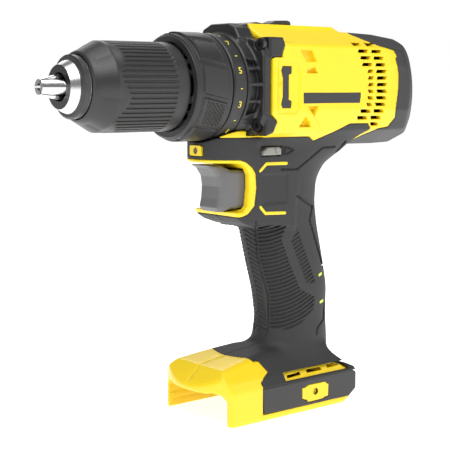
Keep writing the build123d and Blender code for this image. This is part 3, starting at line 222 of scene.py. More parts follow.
sleeve_stations = np.concatenate([
    np.arange(SLEEVE_FRONT, 12, 0.35), np.arange(12, 28, 0.6), np.arange(28, 49.5, 4),
    np.arange(50, 52.2, 0.3), np.arange(53, 57, 1.5), np.arange(57, SLEEVE_REAR + 0.01, 0.25)])
sleeve_black = finish_of("sleeve_black", (0.020, 0.020, 0.021), 0.40, grain=0.35, bump=0.2, edge_highlight=0.12)
chuck_sleeve = turned(
    "sleeve", sleeve_stations, sleeve_radius,
    [(SLEEVE_REAR, 12.5), (SLEEVE_REAR - 3, 12.5), (SLEEVE_REAR - 3, 19.1), (31, 19.1), (31, 19.02),
     (20, 19.02), (11, 14.9), (SLEEVE_FRONT, 14.9)],
    sleeve_black, "sleeve")
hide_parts("chuck_sleeve")


# ---- Torque collar and number ring ----
# The collar is a nylon moulding with alternating smooth and ribbed grip pads. The number ring
# clips on behind it, and its figures are moulded in yellow.
COLLAR_START, COLLAR_END = 59.5, 80.0
COLLAR_LOW_R, COLLAR_PAD_R = 25.1, 26.3
COLLAR_PADS = 10
RIB_PITCH, RIB_LEAN = 1.5, 1.42
collar_black = finish_of("collar_black", (0.017, 0.017, 0.018), 0.42, grain=0.35, bump=0.2, edge_highlight=0.12)


def collar_radius(x, angle):
    low = COLLAR_LOW_R + (COLLAR_PAD_R - 0.6 - COLLAR_LOW_R) * (x - COLLAR_START) / (COLLAR_END - COLLAR_START)
    turn = (angle + 0.2 + (x - 70) * 0.008) * COLLAR_PADS / (2 * math.pi)
    place = turn % 1
    ribbed = np.floor(turn) % 2
    pad = ramp(place, 0.03, 0.07) * (1 - ramp(place, 0.90, 0.94)) * ramp(x, 62.6, 63.2) * (1 - ramp(x, 76.8, 77.4))
    inner = ramp(place, 0.10, 0.13) * (1 - ramp(place, 0.84, 0.87)) * ramp(x, 64.2, 64.6) * (1 - ramp(x, 75.6, 76.0))
    rib = 0.5 + 0.5 * np.cos((angle * COLLAR_PAD_R + x) * 2 * math.pi / (RIB_PITCH * RIB_LEAN))
    front = 1.0 * (1 - ramp(x, COLLAR_START, COLLAR_START + 1.1))
    rear = 0.5 * ramp(x, COLLAR_END - 0.5, COLLAR_END)
    return low + (COLLAR_PAD_R - low) * pad - 0.55 * inner * ribbed * rib - front - rear


collar_stations = np.arange(COLLAR_START, COLLAR_END + 0.01, 0.25)
torque_collar = turned(
    "torque_grip", collar_stations, collar_radius,
    [(COLLAR_END, 24.4), (76, 24.4), (76, 23.0), (62.5, 23.0), (62.5, 21.4), (COLLAR_START, 21.4)],
    collar_black, "collar", steps=864)
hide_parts("torque_collar")

RING_START, RING_END, RING_R = 80.5, 88.3, 26.0
number_ring = turned(
    "number_band", np.array([RING_START, 80.9, 81.3, 82, 84, 86, 87.4, 87.9, RING_END]),
    lambda x, angle: RING_R - 0.5 * (1 - ramp(x, RING_START, 81.1)) - 0.35 * ramp(x, 87.7, RING_END),
    [(RING_END, 24.6), (81.3, 24.6), (81.3, 23.3), (76.2, 23.3), (76.2, 24.3), (RING_START, 24.3)],
    collar_black, "collar", steps=180)
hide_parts("number_ring")

MARK_YELLOW = (0.80, 0.62, 0.02)
MARK_COUNT, MARK_STEP, FIRST_MARK = 16, 18, -55
MARK_HEIGHT, MARK_X = 3.3, 84.6
mark_yellow = finish_of("moulded_yellow_marks", MARK_YELLOW, 0.45, grain=0.4)


def wrapped_text(name, text, height, middle_x, degrees, radius, material):
    """A raised figure wrapped round the spindle axis; 0 degrees is at -Y and 90 at the top."""
    curve = bpy.data.curves.new(name, "FONT")
    curve.body = text
    curve.size = height * 1.4
    curve.align_x = "CENTER"
    curve.align_y = "CENTER"
    curve.extrude = 0.12
    curve.resolution_u = 3
    letter = bpy.data.objects.new(name, curve)
    bpy.context.scene.collection.objects.link(letter)
    bpy.context.view_layer.update()
    mesh = bpy.data.meshes.new_from_object(letter.evaluated_get(bpy.context.evaluated_depsgraph_get()))
    bpy.data.objects.remove(letter)
    u, v, w = np.array([p.co for p in mesh.vertices]).T
    faces = [list(p.vertices) for p in mesh.polygons]
    turn = math.radians(degrees) + v / radius
    r = radius + w
    points = np.stack([middle_x + u, -r * np.cos(turn), r * np.sin(turn)], -1)
    mesh.clear_geometry()
    mesh.from_pydata((points * MM).tolist(), [], faces)
    mesh.materials.clear()
    mesh.materials.append(material)
    piece = bpy.data.objects.new(name, mesh)
    bpy.context.scene.collection.objects.link(piece)
    return piece


for position in range(MARK_COUNT):
    figure = str(position + 1) if position % 2 == 0 else "-"
    mark = wrapped_text(f"ring_mark_{position + 1:02d}", figure, MARK_HEIGHT, MARK_X,
                        FIRST_MARK + MARK_STEP * position, RING_R + 0.02, mark_yellow)
    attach(mark, "collar")


# ---- Gear train, clutch and motor ----
# Sintered and machined steel gears on pins, a wound armature in a zinc-plated can with ferrite
# magnets, and copper leads to the switch. They keep their CAD shapes inside the casings.
gear_steel = finish_of("sintered_steel", (0.34, 0.33, 0.32), 0.42, metal=1.0, grain=0.2, bump=0.3)
give(gear_steel, "gear_steel", "fixed_ring_gears", "shift_ring_gear", "planet_carrier_1", "planet_carrier_2",
     "motor_pinion", "motor_shaft", "spindle_bearing", "clutch_spring", "clutch_washer", "clutch_pins",
     "shift_fork", "armature_core", *[f"planet_{stage}_{n}" for stage in (1, 2, 3) for n in (1, 2, 3)])
give(finish_of("zinc_can", (0.45, 0.45, 0.46), 0.38, metal=1.0, grain=0.5), "motor_zinc",
     "motor_can", "motor_mount_plate")
give(finish_of("ferrite", (0.03, 0.03, 0.032), 0.6, grain=0.2), "magnet", "motor_magnets")
give(finish_of("enamelled_copper", (0.55, 0.20, 0.07), 0.32, metal=1.0, grain=0.4), "copper",
     "armature_windings", "commutator", "battery_terminals")
nylon_black = finish_of("nylon_black", (0.02, 0.02, 0.021), 0.5, grain=0.3, bump=0.25)
give(nylon_black, "nylon_black", "cooling_fan", "motor_end_bell", "clutch_nut", "switch_module",
     "terminal_block", "motor_brushes")
give(finish_of("lead_pvc", (0.25, 0.02, 0.02), 0.45, grain=0.5), "lead_pvc", "internal_leads")


# ---- Gear case ----
# A die-like moulding of black glass-filled nylon with a hood on top, windows with ribs on its
# sides, and four angular ears that take the screws from the front.
def meet(a, b, soft=0.6):
    """What two shapes share, with a soft edge between them. Shapes are depths, negative inside."""
    gap = np.maximum(soft - np.abs(a - b), 0) / soft
    return np.maximum(a, b) + gap * gap * soft / 4


def join(a, b, soft=0.6):
    return -meet(-a, -b, soft)


def without(a, b, soft=0.6):
    return meet(a, -b, soft)


def outline(points):
    """A closed outline, as its depth at (u, v)."""
    corners = np.array(points, float)

    def depth(u, v):
        u, v = np.broadcast_arrays(u, v)
        nearest = np.full(u.shape, 1e9)
        inside = np.zeros(u.shape, bool)
        for (au, av), (bu, bv) in zip(corners, np.roll(corners, -1, axis=0)):
            eu, ev = bu - au, bv - av
            along = np.clip(((u - au) * eu + (v - av) * ev) / (eu * eu + ev * ev), 0, 1)
            nearest = np.minimum(nearest, (u - au - along * eu) ** 2 + (v - av - along * ev) ** 2)
            if ev != 0:
                inside ^= ((av > v) != (bv > v)) & (u < au + (v - av) * eu / ev)
        return np.where(inside, -1, 1) * np.sqrt(nearest)

    return depth


def stroke(points, half_width):
    """An open line of one width, as its depth at (u, v)."""
    ends = np.array(points, float)

    def depth(u, v):
        u, v = np.broadcast_arrays(u, v)
        nearest = np.full(u.shape, 1e9)
        for (au, av), (bu, bv) in zip(ends[:-1], ends[1:]):
            eu, ev = bu - au, bv - av
            along = np.clip(((u - au) * eu + (v - av) * ev) / (eu * eu + ev * ev), 0, 1)
            nearest = np.minimum(nearest, (u - au - along * eu) ** 2 + (v - av - along * ev) ** 2)
        return np.sqrt(nearest) - half_width

    return depth


EDGES_OF_A_CELL = [((0, 0, 0), (1, 0, 0)), ((0, 1, 0), (1, 1, 0)), ((0, 0, 1), (1, 0, 1)), ((0, 1, 1), (1, 1, 1)),
                   ((0, 0, 0), (0, 1, 0)), ((1, 0, 0), (1, 1, 0)), ((0, 0, 1), (0, 1, 1)), ((1, 0, 1), (1, 1, 1)),
                   ((0, 0, 0), (0, 0, 1)), ((1, 0, 0), (1, 0, 1)), ((0, 1, 0), (0, 1, 1)), ((1, 1, 0), (1, 1, 1))]
MOST_FACES = 190000


def moulded(name, shape, low, high, step, material, body):
    """The skin of a shape inside a box, on a grid of one step, with its points drawn onto the true surface."""
    axes = [np.arange(a - step, b + 2 * step, step) for a, b in zip(low, high)]
    grid = [axes[0][:, None, None], axes[1][None, :, None], axes[2][None, None, :]]
    value = np.broadcast_to(shape(*grid), [len(a) for a in axes]).astype(np.float32)
    inside = value < 0
    count = sum(inside[i:len(axes[0]) - 1 + i, j:len(axes[1]) - 1 + j, k:len(axes[2]) - 1 + k].astype(np.int8)
                for i in (0, 1) for j in (0, 1) for k in (0, 1))
    cells = (count > 0) & (count < 8)
    number = np.full(cells.shape, -1, np.int32)
    corner = np.argwhere(cells)
    number[cells] = np.arange(len(corner))
    total = np.zeros((len(corner), 3))
    hits = np.zeros(len(corner))
    for start, end in EDGES_OF_A_CELL:
        a = value[tuple((corner + start).T)]
        b = value[tuple((corner + end).T)]
        crossed = (a < 0) != (b < 0)
        share = np.where(crossed, a / np.where(crossed, a - b, 1), 0)
        total += crossed[:, None] * (np.array(start) + share[:, None] * (np.array(end) - start))
        hits += crossed
    origin = np.array([a[0] for a in axes])
    first = origin + (corner + total / hits[:, None]) * step
    points = first.copy()
    for _ in range(2):
        here = shape(*points.T)
        slope = np.stack([(shape(*(points + nudge).T) - here) / 0.05 for nudge in np.eye(3) * 0.05], -1)
        size = np.maximum((slope ** 2).sum(-1), 0.3)
        points = points - (here / size)[:, None] * slope
        points = first + np.clip(points - first, -0.6 * step, 0.6 * step)
    faces = []
    for axis in range(3):
        near = [slice(None)] * 3
        far = [slice(None)] * 3
        near[axis], far[axis] = slice(None, -1), slice(1, None)
        change = inside[tuple(near)] != inside[tuple(far)]
        at = np.argwhere(change)
        one, two = np.eye(3, dtype=int)[(axis + 1) % 3], np.eye(3, dtype=int)[(axis + 2) % 3]
        keep = ((at - one - two) >= 0).all(1) & (at < np.array(cells.shape)).all(1)
        at = at[keep]
        quad = np.stack([number[tuple((at - a - b).T)] for a, b in
                         ((one * 0, two * 0), (one, two * 0), (one, two), (one * 0, two))], -1)
        solid_first = inside[tuple(at.T)]
        faces.append(np.where(solid_first[:, None], quad, quad[:, ::-1]))
    faces = np.concatenate(faces)
    piece = mesh_of(name, points, faces[(faces >= 0).all(1)], material, body)
    if 2 * len(piece.data.polygons) > MOST_FACES:
        thin = piece.modifiers.new("thin", "DECIMATE")
        thin.ratio = MOST_FACES / (2 * len(piece.data.polygons))
        evaluated = piece.evaluated_get(bpy.context.evaluated_depsgraph_get())
        piece.data = bpy.data.meshes.new_from_object(evaluated)
        piece.modifiers.clear()
        piece.data.shade_smooth()
    return piece


FINE = 0.45
CASE_FRONT, CASE_STEP, CASE_REAR = 82.0, 88.7, 101.3
CASE_R, CASE_BORE_R = 26.4, 23.1
HOOD = outline([(-15.5, 18), (-15.5, 24), (-12.5, 28.6), (-6.5, 31.0),
                (6.5, 31.0), (12.5, 28.6), (15.5, 24), (15.5, 18)])
HOOD_TAIL = outline([(95, 24), (95, 28), (99.9, 30.6), (108.3, 32.0), (116.9, 31.4), (121.5, 28.6), (118, 27)])
FLANGE = outline([(-28.3, -14), (-28.3, 14), (-25.5, 21), (-17, 23.4), (17, 23.4), (25.5, 21), (28.3, 14),
                  (28.3, -14), (25, -20.5), (17, -23.4), (-17, -23.4), (-25, -20.5)])
UPPER_EAR = outline([(99.9, 23.9), (108.7, 23.9), (110.4, 20.4), (108.4, 16.4), (108.0, 14.3), (99.9, 13.7)])
LOWER_EAR = outline([(98.0, -13.5), (102.1, -14.1), (105.5, -16.9), (102.8, -22.2), (98.0, -23.7)])
WINDOW = outline([(89.9, 13.6), (95.6, 12.2), (96.4, 3.0), (96.4, -3.0), (95.6, -12.2), (89.9, -13.6)])


def ears(x, y, z, clearance=0.0):
    side = np.abs(y)
    plate = np.minimum(UPPER_EAR(x, z), LOWER_EAR(x, z))
    return meet(plate - clearance, np.maximum(side - 28.6, 21.0 - side) - clearance, 1.2)


def gear_case_shape(x, y, z):
    r = np.hypot(y, z)
    side = np.abs(y)
    drum = meet(r - CASE_R, np.maximum(CASE_STEP - x, x - CASE_REAR), 1.6)
    neck = np.maximum(r - 24.3, np.maximum(CASE_FRONT - x, x - CASE_STEP - 1))
    flange = meet(FLANGE(y, z), np.maximum(96.2 - x, x - CASE_REAR), 1.4)
    hood = meet(HOOD(y, z), np.maximum(91.0 - x, x - CASE_REAR), 1.8)
    hood_tail = meet(HOOD_TAIL(x, z), side - 9.5 + 0.25 * np.maximum(x - 108, 0), 1.5)
    whole = join(join(join(drum, neck, 0.5), flange, 1.5), hood, 2.0)
    whole = join(whole, hood_tail, 1.2)
    whole = join(whole, ears(x, y, z), 0.8)
    pocket = np.maximum(WINDOW(x, z), 24.1 - r)
    ribs = np.minimum(np.minimum(np.abs(z - 9) - 0.8, np.abs(z - 1.2) - 0.8), np.abs(z + 7) - 0.8)
    pocket = np.maximum(pocket, -ribs)
    whole = without(whole, np.maximum(pocket, 18 - side), 0.4)
    screw_hole = np.hypot(side - 24.5, z - 20.5) - 3.3
    screw_hole = np.minimum(screw_hole, np.hypot(side - 22.5, z + 18.5) - 3.3)
    whole = without(whole, np.maximum(screw_hole, x - 98.9), 0.4)
    return np.maximum(whole, CASE_BORE_R - r)


case_black = finish_of("case_black", (0.016, 0.016, 0.017), 0.38, grain=0.35, bump=0.22, edge_highlight=0.12)
gear_case = moulded("gear_casing", gear_case_shape, (81, -29.2, -27), (123, 29.2, 32.4), FINE,
                    case_black, "root")
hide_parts("gear_case")
black_oxide = finish_of("black_oxide_screws", (0.05, 0.05, 0.05), 0.3, metal=0.8)
give(black_oxide, "screw_steel", "housing_screws")


# ---- Housing halves ----
# Two injection-moulded shells of glass-filled nylon that meet on the middle plane: the motor
# barrel with its vents, the core of the handle, and the foot that slides over the battery.
YELLOW = (0.93, 0.66, 0.008)
BARREL_X = (101.5, 168.0, 186.0, 205.0, 214.0)
BARREL_HALF_WIDTH = (29.4, 29.4, 28.8, 27.2, 22.0)
BARREL_HALF_HEIGHT = (29.2, 29.2, 29.0, 27.6, 22.6)
BARREL_MIDDLE = (-0.8, -0.8, -1.2, -2.0, -1.8)
BARREL_ROUND = 2.5
WALL, SKIN = 3.4, 2.2
WIDEST = 29.42
BARREL_CORNERS = [(13, 29.2), (28.0, 21.4), (29.4, 14.0), (29.4, -11.5), (26, -21.5), (14, -29.2)]
BARREL_SECTION = outline([(y * 0.915, z * 0.915) for y, z in BARREL_CORNERS]
                         + [(-y * 0.915, z * 0.915) for y, z in BARREL_CORNERS[::-1]])
DECK = outline([(-13.5, 26), (-10.2, 31.0), (10.2, 31.0), (13.5, 26)])
CAP_SEAM = outline([(168, 45), (168, 27.5), (173, 24.4), (179, 21.2), (188.2, 19.1), (190.2, 15.8), (188.6, 14.6),
                    (191.0, 6.5), (190.6, -2.7), (188.9, -11.5), (190.0, -16), (185.7, -21), (177.6, -22),
                    (163, -29.6), (150, -45), (240, -45), (240, 45)])


def barrel(x, y, z, inset=0.0):
    wide = np.interp(x, BARREL_X, BARREL_HALF_WIDTH) / BARREL_HALF_WIDTH[0]
    tall = np.interp(x, BARREL_X, BARREL_HALF_HEIGHT) / BARREL_HALF_HEIGHT[0]
    middle = np.interp(x, BARREL_X, BARREL_MIDDLE)
    round_it = BARREL_SECTION(y / wide, (z - middle) / tall) * np.minimum(wide, tall) - BARREL_ROUND
    deck = meet(DECK(y, z), np.maximum(x + 1.3 * (z - 28.4) - 162.5, BARREL_X[0] - x), 0.8)
    tube = join(round_it, deck, 1.2)
    return meet(tube, np.maximum(BARREL_X[0] - x, x - BARREL_X[-1] + 0.05), 1.8)


HANDLE_STATIONS = np.array([
    (-8, 143.0, 46.0, 25.5), (-20, 142.0, 44.5, 24.5), (-30, 141.0, 39.5, 22.0), (-34, 136.2, 33.8, 20.7),
    (-38, 131.5, 28.5, 19.5), (-42, 129.9, 26.4, 18.7), (-48, 128.4, 24.4, 17.8), (-60, 128.5, 24.0, 16.5),
    (-72, 131.0, 23.4, 16.0), (-88, 134.9, 23.3, 16.0), (-105, 139.1, 22.6, 16.0), (-120, 140.0, 21.0, 16.0),
    (-131, 139.5, 22.0, 17.0), (-145, 138.0, 24.0, 18.0)])
HEIGHTS = np.arange(-146.0, -7.0, 1.0)
HANDLE_TABLE = [np.convolve(np.pad(np.interp(HEIGHTS, HANDLE_STATIONS[::-1, 0], HANDLE_STATIONS[::-1, n]), 3, "edge"),
                            np.ones(7) / 7, "valid") for n in (1, 2, 3)]


def handle(x, y, z):
    middle, deep, wide = [np.interp(z, HEIGHTS, column) for column in HANDLE_TABLE]
    u, v = (x - middle) / deep, y / wide
    near = np.sqrt(u * u + v * v) + 1e-9
    steep = np.sqrt((u / deep) ** 2 + (v / wide) ** 2) + 1e-9
    return np.maximum(near * (near - 1) / steep, np.maximum(z + 10, -144 - z))


HEAD_SIDE = outline([(77.0, -18.0), (77.0, -36.9), (88.7, -37.1), (93.0, -37.8), (96.0, -40.1), (97.5, -43.1),
                     (97.6, -49.7), (96.5, -58.3), (93.9, -61.1), (88.7, -61.4), (90.0, -64.2), (94.5, -67.0),
                     (106.0, -71.0), (128.0, -71.0), (128.0, -18.0)])
BAND_SIDE = outline([(76.0, -36.9), (88.7, -37.1), (93.0, -37.8), (96.0, -40.1), (97.5, -43.1), (97.6, -49.7),
                     (96.5, -58.3), (93.9, -61.1), (88.0, -61.4), (88.0, -63.7), (93.0, -63.4), (96.5, -62.2),
                     (100.4, -58.5), (101.7, -49.9), (101.2, -42.6), (99.0, -39.5), (95.1, -36.7), (91.3, -35.6),
                     (76.0, -35.3)])
HEAD_HALF_WIDTH, HEAD_ROUND = 17.0, 15.0


def head(x, y, z):
    in_x = (77 + HEAD_ROUND) - x
    in_y = np.abs(y) - (HEAD_HALF_WIDTH - HEAD_ROUND)
    nose = np.hypot(np.maximum(in_x, 0), np.maximum(in_y, 0)) + np.minimum(np.maximum(in_x, in_y), 0) - HEAD_ROUND
    return meet(HEAD_SIDE(x, z), nose, 1.6)


FOOT_SIDE = outline([(60, -165.4), (60, -149.5), (70.1, -146.6), (79.0, -138.4), (100.8, -135.1), (112, -133.9),
                     (150, -136.6), (158.6, -145.3), (162.6, -147.2), (163.5, -150.4), (163.5, -159.6),
                     (157.2, -163.8), (153.8, -165.4)])
FOOT_FACE = outline([(-27.4, -170), (-27.4, -148.5), (-24.5, -144.2), (-17, -136.8), (-9, -131), (9, -131),
                     (17, -136.8), (24.5, -144.2), (27.4, -148.5), (27.4, -170)])
BAY_FACE = outline([(-24, -170), (-24, -152.6), (-21.4, -149.8), (-15.9, -148.9), (-14, -149.8), (14, -149.8),
                    (15.9, -148.9), (21.4, -149.8), (24, -152.6), (24, -170)])
RAIL_X, RAIL_Z, BAY_END = (80.0, 146.0), (-161.0, -158.0), 150.0


def foot(x, y, z):
    bow = 69.9 + 9.0 * (y / 27.4) ** 2 - x
    return meet(meet(FOOT_SIDE(x, z), FOOT_FACE(y, z), 1.4), np.maximum(bow, -170 - z), 1.6)


def bay(x, y, z):
    room = np.maximum(BAY_FACE(y, z), x - BAY_END)
    rail = np.maximum(np.maximum(21.0 - np.abs(y), np.abs(z - sum(RAIL_Z) / 2) - 1.5),
                      np.maximum(RAIL_X[0] - x, x - RAIL_X[1]))
    well = np.maximum(np.maximum(np.abs(x - 138) - 12, np.abs(y) - 10), np.maximum(z + 130, -152 - z))
    return np.minimum(without(room, rail, 0.4), well)


def outer_body(x, y, z):
    upper = join(barrel(x, y, z), handle(x, y, z), 5.0)
    upper = join(upper, head(x, y, z), 2.5)
    saddle = np.maximum(np.hypot(y, z) - 27.0, x - BARREL_X[0])
    upper = without(upper, saddle, 0.6)
    return join(upper, foot(x, y, z), 6.0)


GRIP_TOP = outline([(60, -24.3), (130.9, -24.7), (134.6, -27.0), (156.4, -18.6), (170.0, -18.7), (172.9, -21.6),
                    (165.8, -27.8), (167, -33), (200, -40), (200, -170), (60, -170)])


FOOT_EDGE_SIDE = outline([(102.7, -125), (102.7, -137.3), (104.9, -142.4), (100.1, -144.4), (97.5, -146.3),
                          (98.0, -149.0), (200, -149.0), (200, -125)])


def grip_zone(x, y, z):
    """Where the soft grip covers the shells."""
    side = np.abs(y)
    top_edge = 95.0 + 7.7 * (side / 25) ** 1.5 - x
    lower = np.where(z > -137.5, top_edge, FOOT_EDGE_SIDE(x, z))
    whole = np.maximum(GRIP_TOP(x, z), np.where(z < -131.5, lower, -99.0))
    return without(whole, BAND_SIDE(x, z), 0.2)


CUT_OUTS = [outline(points) for points in (
    [(120.6, 17.9), (128.2, 17.9), (130.4, 12.4), (123.6, 12.4)],
    [(124.0, 8.3), (129.5, 9.8), (131.2, 6.8), (124.0, 6.8)],
    [(123.8, -9.5), (131.6, -9.5), (129.6, -14.6), (126.6, -13.2)],
    [(121.2, -19.8), (129.2, -19.8), (127.4, -17.2), (124.0, -14.6)])]
INLAY = outline([(108.2, 10.1), (114.1, 10.1), (114.2, 6.5), (112.4, 6.0), (112.4, -6.3),
                 (114.2, -6.7), (113.9, -10.3),
                 (108.3, -10.3), (107.3, -8.4), (108.5, -4.3), (108.5, 3.8), (107.2, 7.9)])
RECESS = outline([(105.4, 12.6), (117.6, 12.6), (119.4, 9.2), (119.4, -9.4), (117.4, -13.0), (105.6, -13.0),
                  (104.6, -9), (104.6, 8.6)])
DIAGONAL_RIB = stroke([(123.6, -10.6), (134.5, -21.6)], 1.3)
VENT_ROWS = 13
VENT_PITCH = 3.41
VENT_TOP = 21.7


def vents(x, y, z):
    row = np.clip(np.round((VENT_TOP - z) / VENT_PITCH), 0, VENT_ROWS - 1)
    middle = VENT_TOP - row * VENT_PITCH
    end = 181.4 - 0.0115 * (middle - 0.8) ** 2
    lean = (z - middle) * np.where(middle > 0, -0.55, 0.55)
    near_cap = np.maximum(end - 7.6 - (x + lean), (x + lean) - end)
    short = np.abs(row - 6.5) < 3
    far = np.maximum(np.where(short, end - 14.0, end - 17.4) - (x + lean), (x + lean) - (end - 10.2))
    last = row == VENT_ROWS - 1
    columns = np.where(last, np.maximum(171.8 - (x + lean), (x + lean) - 177.6), np.minimum(near_cap, far))
    return np.maximum(columns, np.abs(z - middle) - 0.85)


CLAMP_SCREWS = ((148.0, 23.5, 22.5), (166.0, 22.5, 22.0), (148.0, -24.5, 20.0), (124.0, -30.0, 15.5),
                (118.5, -75.0, 8.6), (151.0, -108.0, 9.6), (98.0, -143.5, 22.0), (153.0, -144.5, 20.0))


def screw_wells(x, y, z):
    """The wells of the clamp screws, which open on the right side."""
    wells = [np.maximum(np.hypot(x - at, z - height) - 3.1, seat - y) for at, height, seat in CLAMP_SCREWS]
    return np.minimum.reduce(np.broadcast_arrays(*wells))


TRIGGER_SLOT = 12.8


def control_openings(x, y, z):
    side = np.abs(y)
    trigger_slot = np.maximum(np.maximum(np.abs(x - 107) - 13, side - TRIGGER_SLOT), np.maximum(z + 40, -60.4 - z))
    lever_slot = np.maximum(np.abs(x - 111) - 6.3, np.abs(z + 31.7) - 2.4)
    knob_slot = np.maximum(np.maximum(np.abs(x - 130.7) - 6.6, side - 3.3), 24 - z)
    light_slot = np.maximum(np.maximum(side - 4.6, np.abs(z + 31) - 2.6), x - 82)
    return np.minimum(np.minimum(trigger_slot, lever_slot), np.minimum(knob_slot, light_slot))


def housing_shape(x, y, z):
    side = np.abs(y)
    body = outer_body(x, y, z)
    on_side = 20.0 - side
    solid = without(body, np.maximum(np.maximum(RECESS(x, z), on_side), -(body + 0.7)), 0.4)
    solid = without(solid, np.maximum(np.maximum(INLAY(x, z), on_side), -(body + 1.6)), 0.2)
    for cut in CUT_OUTS:
        solid = without(solid, np.maximum(np.maximum(cut(x, z), on_side), -(body + 2.8)), 0.5)
    rib = np.maximum(np.maximum(DIAGONAL_RIB(x, z), on_side), np.maximum(body - 0.4, side - 29.4))
    solid = np.maximum(join(solid, rib, 0.3), side - WIDEST)
    solid = without(solid, ears(x, y, z, 0.35), 0.3)
    solid = without(solid, np.maximum(np.maximum(FLANGE(y, z) - 0.4, x - 101.8), 95 - x), 0.2)
    solid = np.maximum(solid, -CAP_SEAM(x, z) + 0.15)
    zone = grip_zone(x, y, z)
    solid = without(solid, np.maximum(zone, -(body + SKIN)), 0.15)
    solid = np.maximum(solid, -(body + WALL))
    solid = np.maximum(solid, -np.maximum(vents(x, y, z), 12 - side))
    solid = without(solid, bay(x, y, z), 0.8)
    slots = np.maximum(np.abs(np.abs(x - 136.4) - 14.4) - 4.9, np.abs(z + 145.9 - 0.04 * (x - 136)) - 0.75)
    middle_slot = np.maximum(np.abs(x - 136.4) - 5.3, np.abs(z + 145.9) - 0.75)
    solid = without(solid, np.maximum(np.maximum(np.minimum(slots, middle_slot), 18 - side), -(body + 3.6)), 0.2)
    panel = np.maximum(np.maximum(97.6 - x, np.maximum(z + 148.6, -162.2 - z)), -(body + 1.4))
    solid = without(solid, np.maximum(panel, 24.5 - side), 0.15)
    solid = without(solid, control_openings(x, y, z), 0.3)
    return without(solid, screw_wells(x, y, z), 0.3)


yellow_plastic = finish_of("yellow_nylon", YELLOW, 0.36, grain=0.45, bump=0.10, shade=0.035, edge_highlight=0.12, coat=0.12)
SIDES = (("left", (-29.5, 0.0)), ("right", (0.0, 29.5)))
HALF = 0.5


def half_of(shape, sign):
    """One half of a shape, cut on the middle plane with a hairline left for the seam."""
    return lambda x, y, z: np.maximum(shape(x, y, z), 0.04 - sign * y)


for side, (near, far) in SIDES:
    sign = -1 if side == "left" else 1
    shell = moulded(f"shell_{side}", half_of(housing_shape, sign), (69, near, -165.6), (192, far, 31.2), HALF,
                    yellow_plastic, "root")
    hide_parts(f"housing_{side}")


# ---- Soft grip ----
# Thermoplastic rubber moulded over the shells: smooth round the neck, with curved ribs on the
# sides, a slanted rib strip, fine ribs down the front, and thin grooves that part the fields.
GRIP_GREY = (0.024, 0.024, 0.025)
FRONT_SEAM = stroke([(102.0, -66), (102.2, -69.6), (104.0, -86.5), (107.8, -98), (111.3, -107.9), (111.4, -124.0),
                     (108.6, -128.6), (104.6, -130.4), (92.0, -130.8)], 0.42)
BACK_SEAM = stroke([(129.8, -55.0), (132.3, -56.5), (140.8, -61.8), (138.7, -68.5), (149.2, -94.9)], 0.45)
HEEL_SEAM = stroke([(150.5, -114.8), (149.6, -122.6), (144.8, -125.8), (144.5, -129.2)], 0.45)
NECK_SEAMS = [stroke(points, 0.42) for points in (
    [(118.8, -41.1), (129.6, -41.3), (146.7, -30.7), (155.6, -30.5)], [(157.3, -33.5), (163.4, -28.1)])]
SIDE_FIELD = outline([(102.6, -67.7), (122.8, -69.4), (119.7, -77.0), (125.3, -89.9), (132.9, -104.1),
                      (143.0, -108.8),
                      (142.1, -115.8), (134, -122.0), (126, -125.8), (112.4, -124.6), (112.3, -107.4), (105, -87)])
SLANT_FIELD = outline([(130.2, -71.8), (125.7, -78.2), (136.7, -101.3), (143.8, -102.0)])
THUMB_FIELD = outline([(105.8, -43.0), (123.4, -43.0), (123.4, -58.6), (105.8, -58.6)])
PALM_FIELD = outline([(153.8, -99.4), (166, -99.4), (166, -111.2), (153.8, -111.2)])
LEVER_MARKS = [stroke(points, 0.4) for points in (
    [(118.4, -29.8), (118.4, -33.2)], [(119.8, -29.8), (119.8, -33.2)], [(121.2, -29.8), (121.2, -33.2)],
    [(122.6, -29.9), (126.4, -31.5), (122.6, -33.1)])]
RIB_STEP = 2.0


def grip_relief(x, y, z):
    """How far the rubber's surface is sunk by its seams and ribs."""
    side = ramp(np.abs(y), 3.0, 5.0)
    x = x + 0.81 * (np.abs(y) - 16.0)
    line = np.minimum.reduce(np.broadcast_arrays(FRONT_SEAM(x, z), BACK_SEAM(x, z), HEEL_SEAM(x, z),
                                                 *[seam(x, z) for seam in NECK_SEAMS + LEVER_MARKS]))
    sunk = 0.9 * ramp(-line, -0.3, 0.2) * side
    rise = x - (103 + 0.18 * (-70 - z))
    wave = 0.5 + 0.5 * np.cos((z - 0.05 * rise - 0.0075 * rise * rise) * 2 * math.pi / RIB_STEP)
    sunk = sunk + 1.0 * ramp(-SIDE_FIELD(x, z), -0.2, 0.9) * side * np.clip(wave * 1.6 - 0.3, 0, 1)
    slant = 0.5 + 0.5 * np.cos((z * 0.9 - x * 0.42) * 2 * math.pi / 2.0)
    sunk = sunk + 0.9 * ramp(-SLANT_FIELD(x, z), -0.1, 0.6) * side * np.clip(slant * 1.5 - 0.3, 0, 1)
    front = (102.0 + 0.155 * (-68 - z)) - x
    front_wave = 0.5 + 0.5 * np.cos((z * 0.85 + np.abs(y) * 0.5) * 2 * math.pi / 2.1)
    in_front = ramp(front, -0.6, 0.6) * ramp(z, -127.0, -125.0) * (1 - ramp(z, -71.0, -69.5))
    sunk = sunk + 0.7 * in_front * np.clip(front_wave * 1.5 - 0.3, 0, 1)
    sunk = sunk + 0.55 * ramp(-THUMB_FIELD(x, z), -0.4, 1.2) * side
    return sunk - 0.35 * ramp(-PALM_FIELD(x, z), -0.3, 0.8)


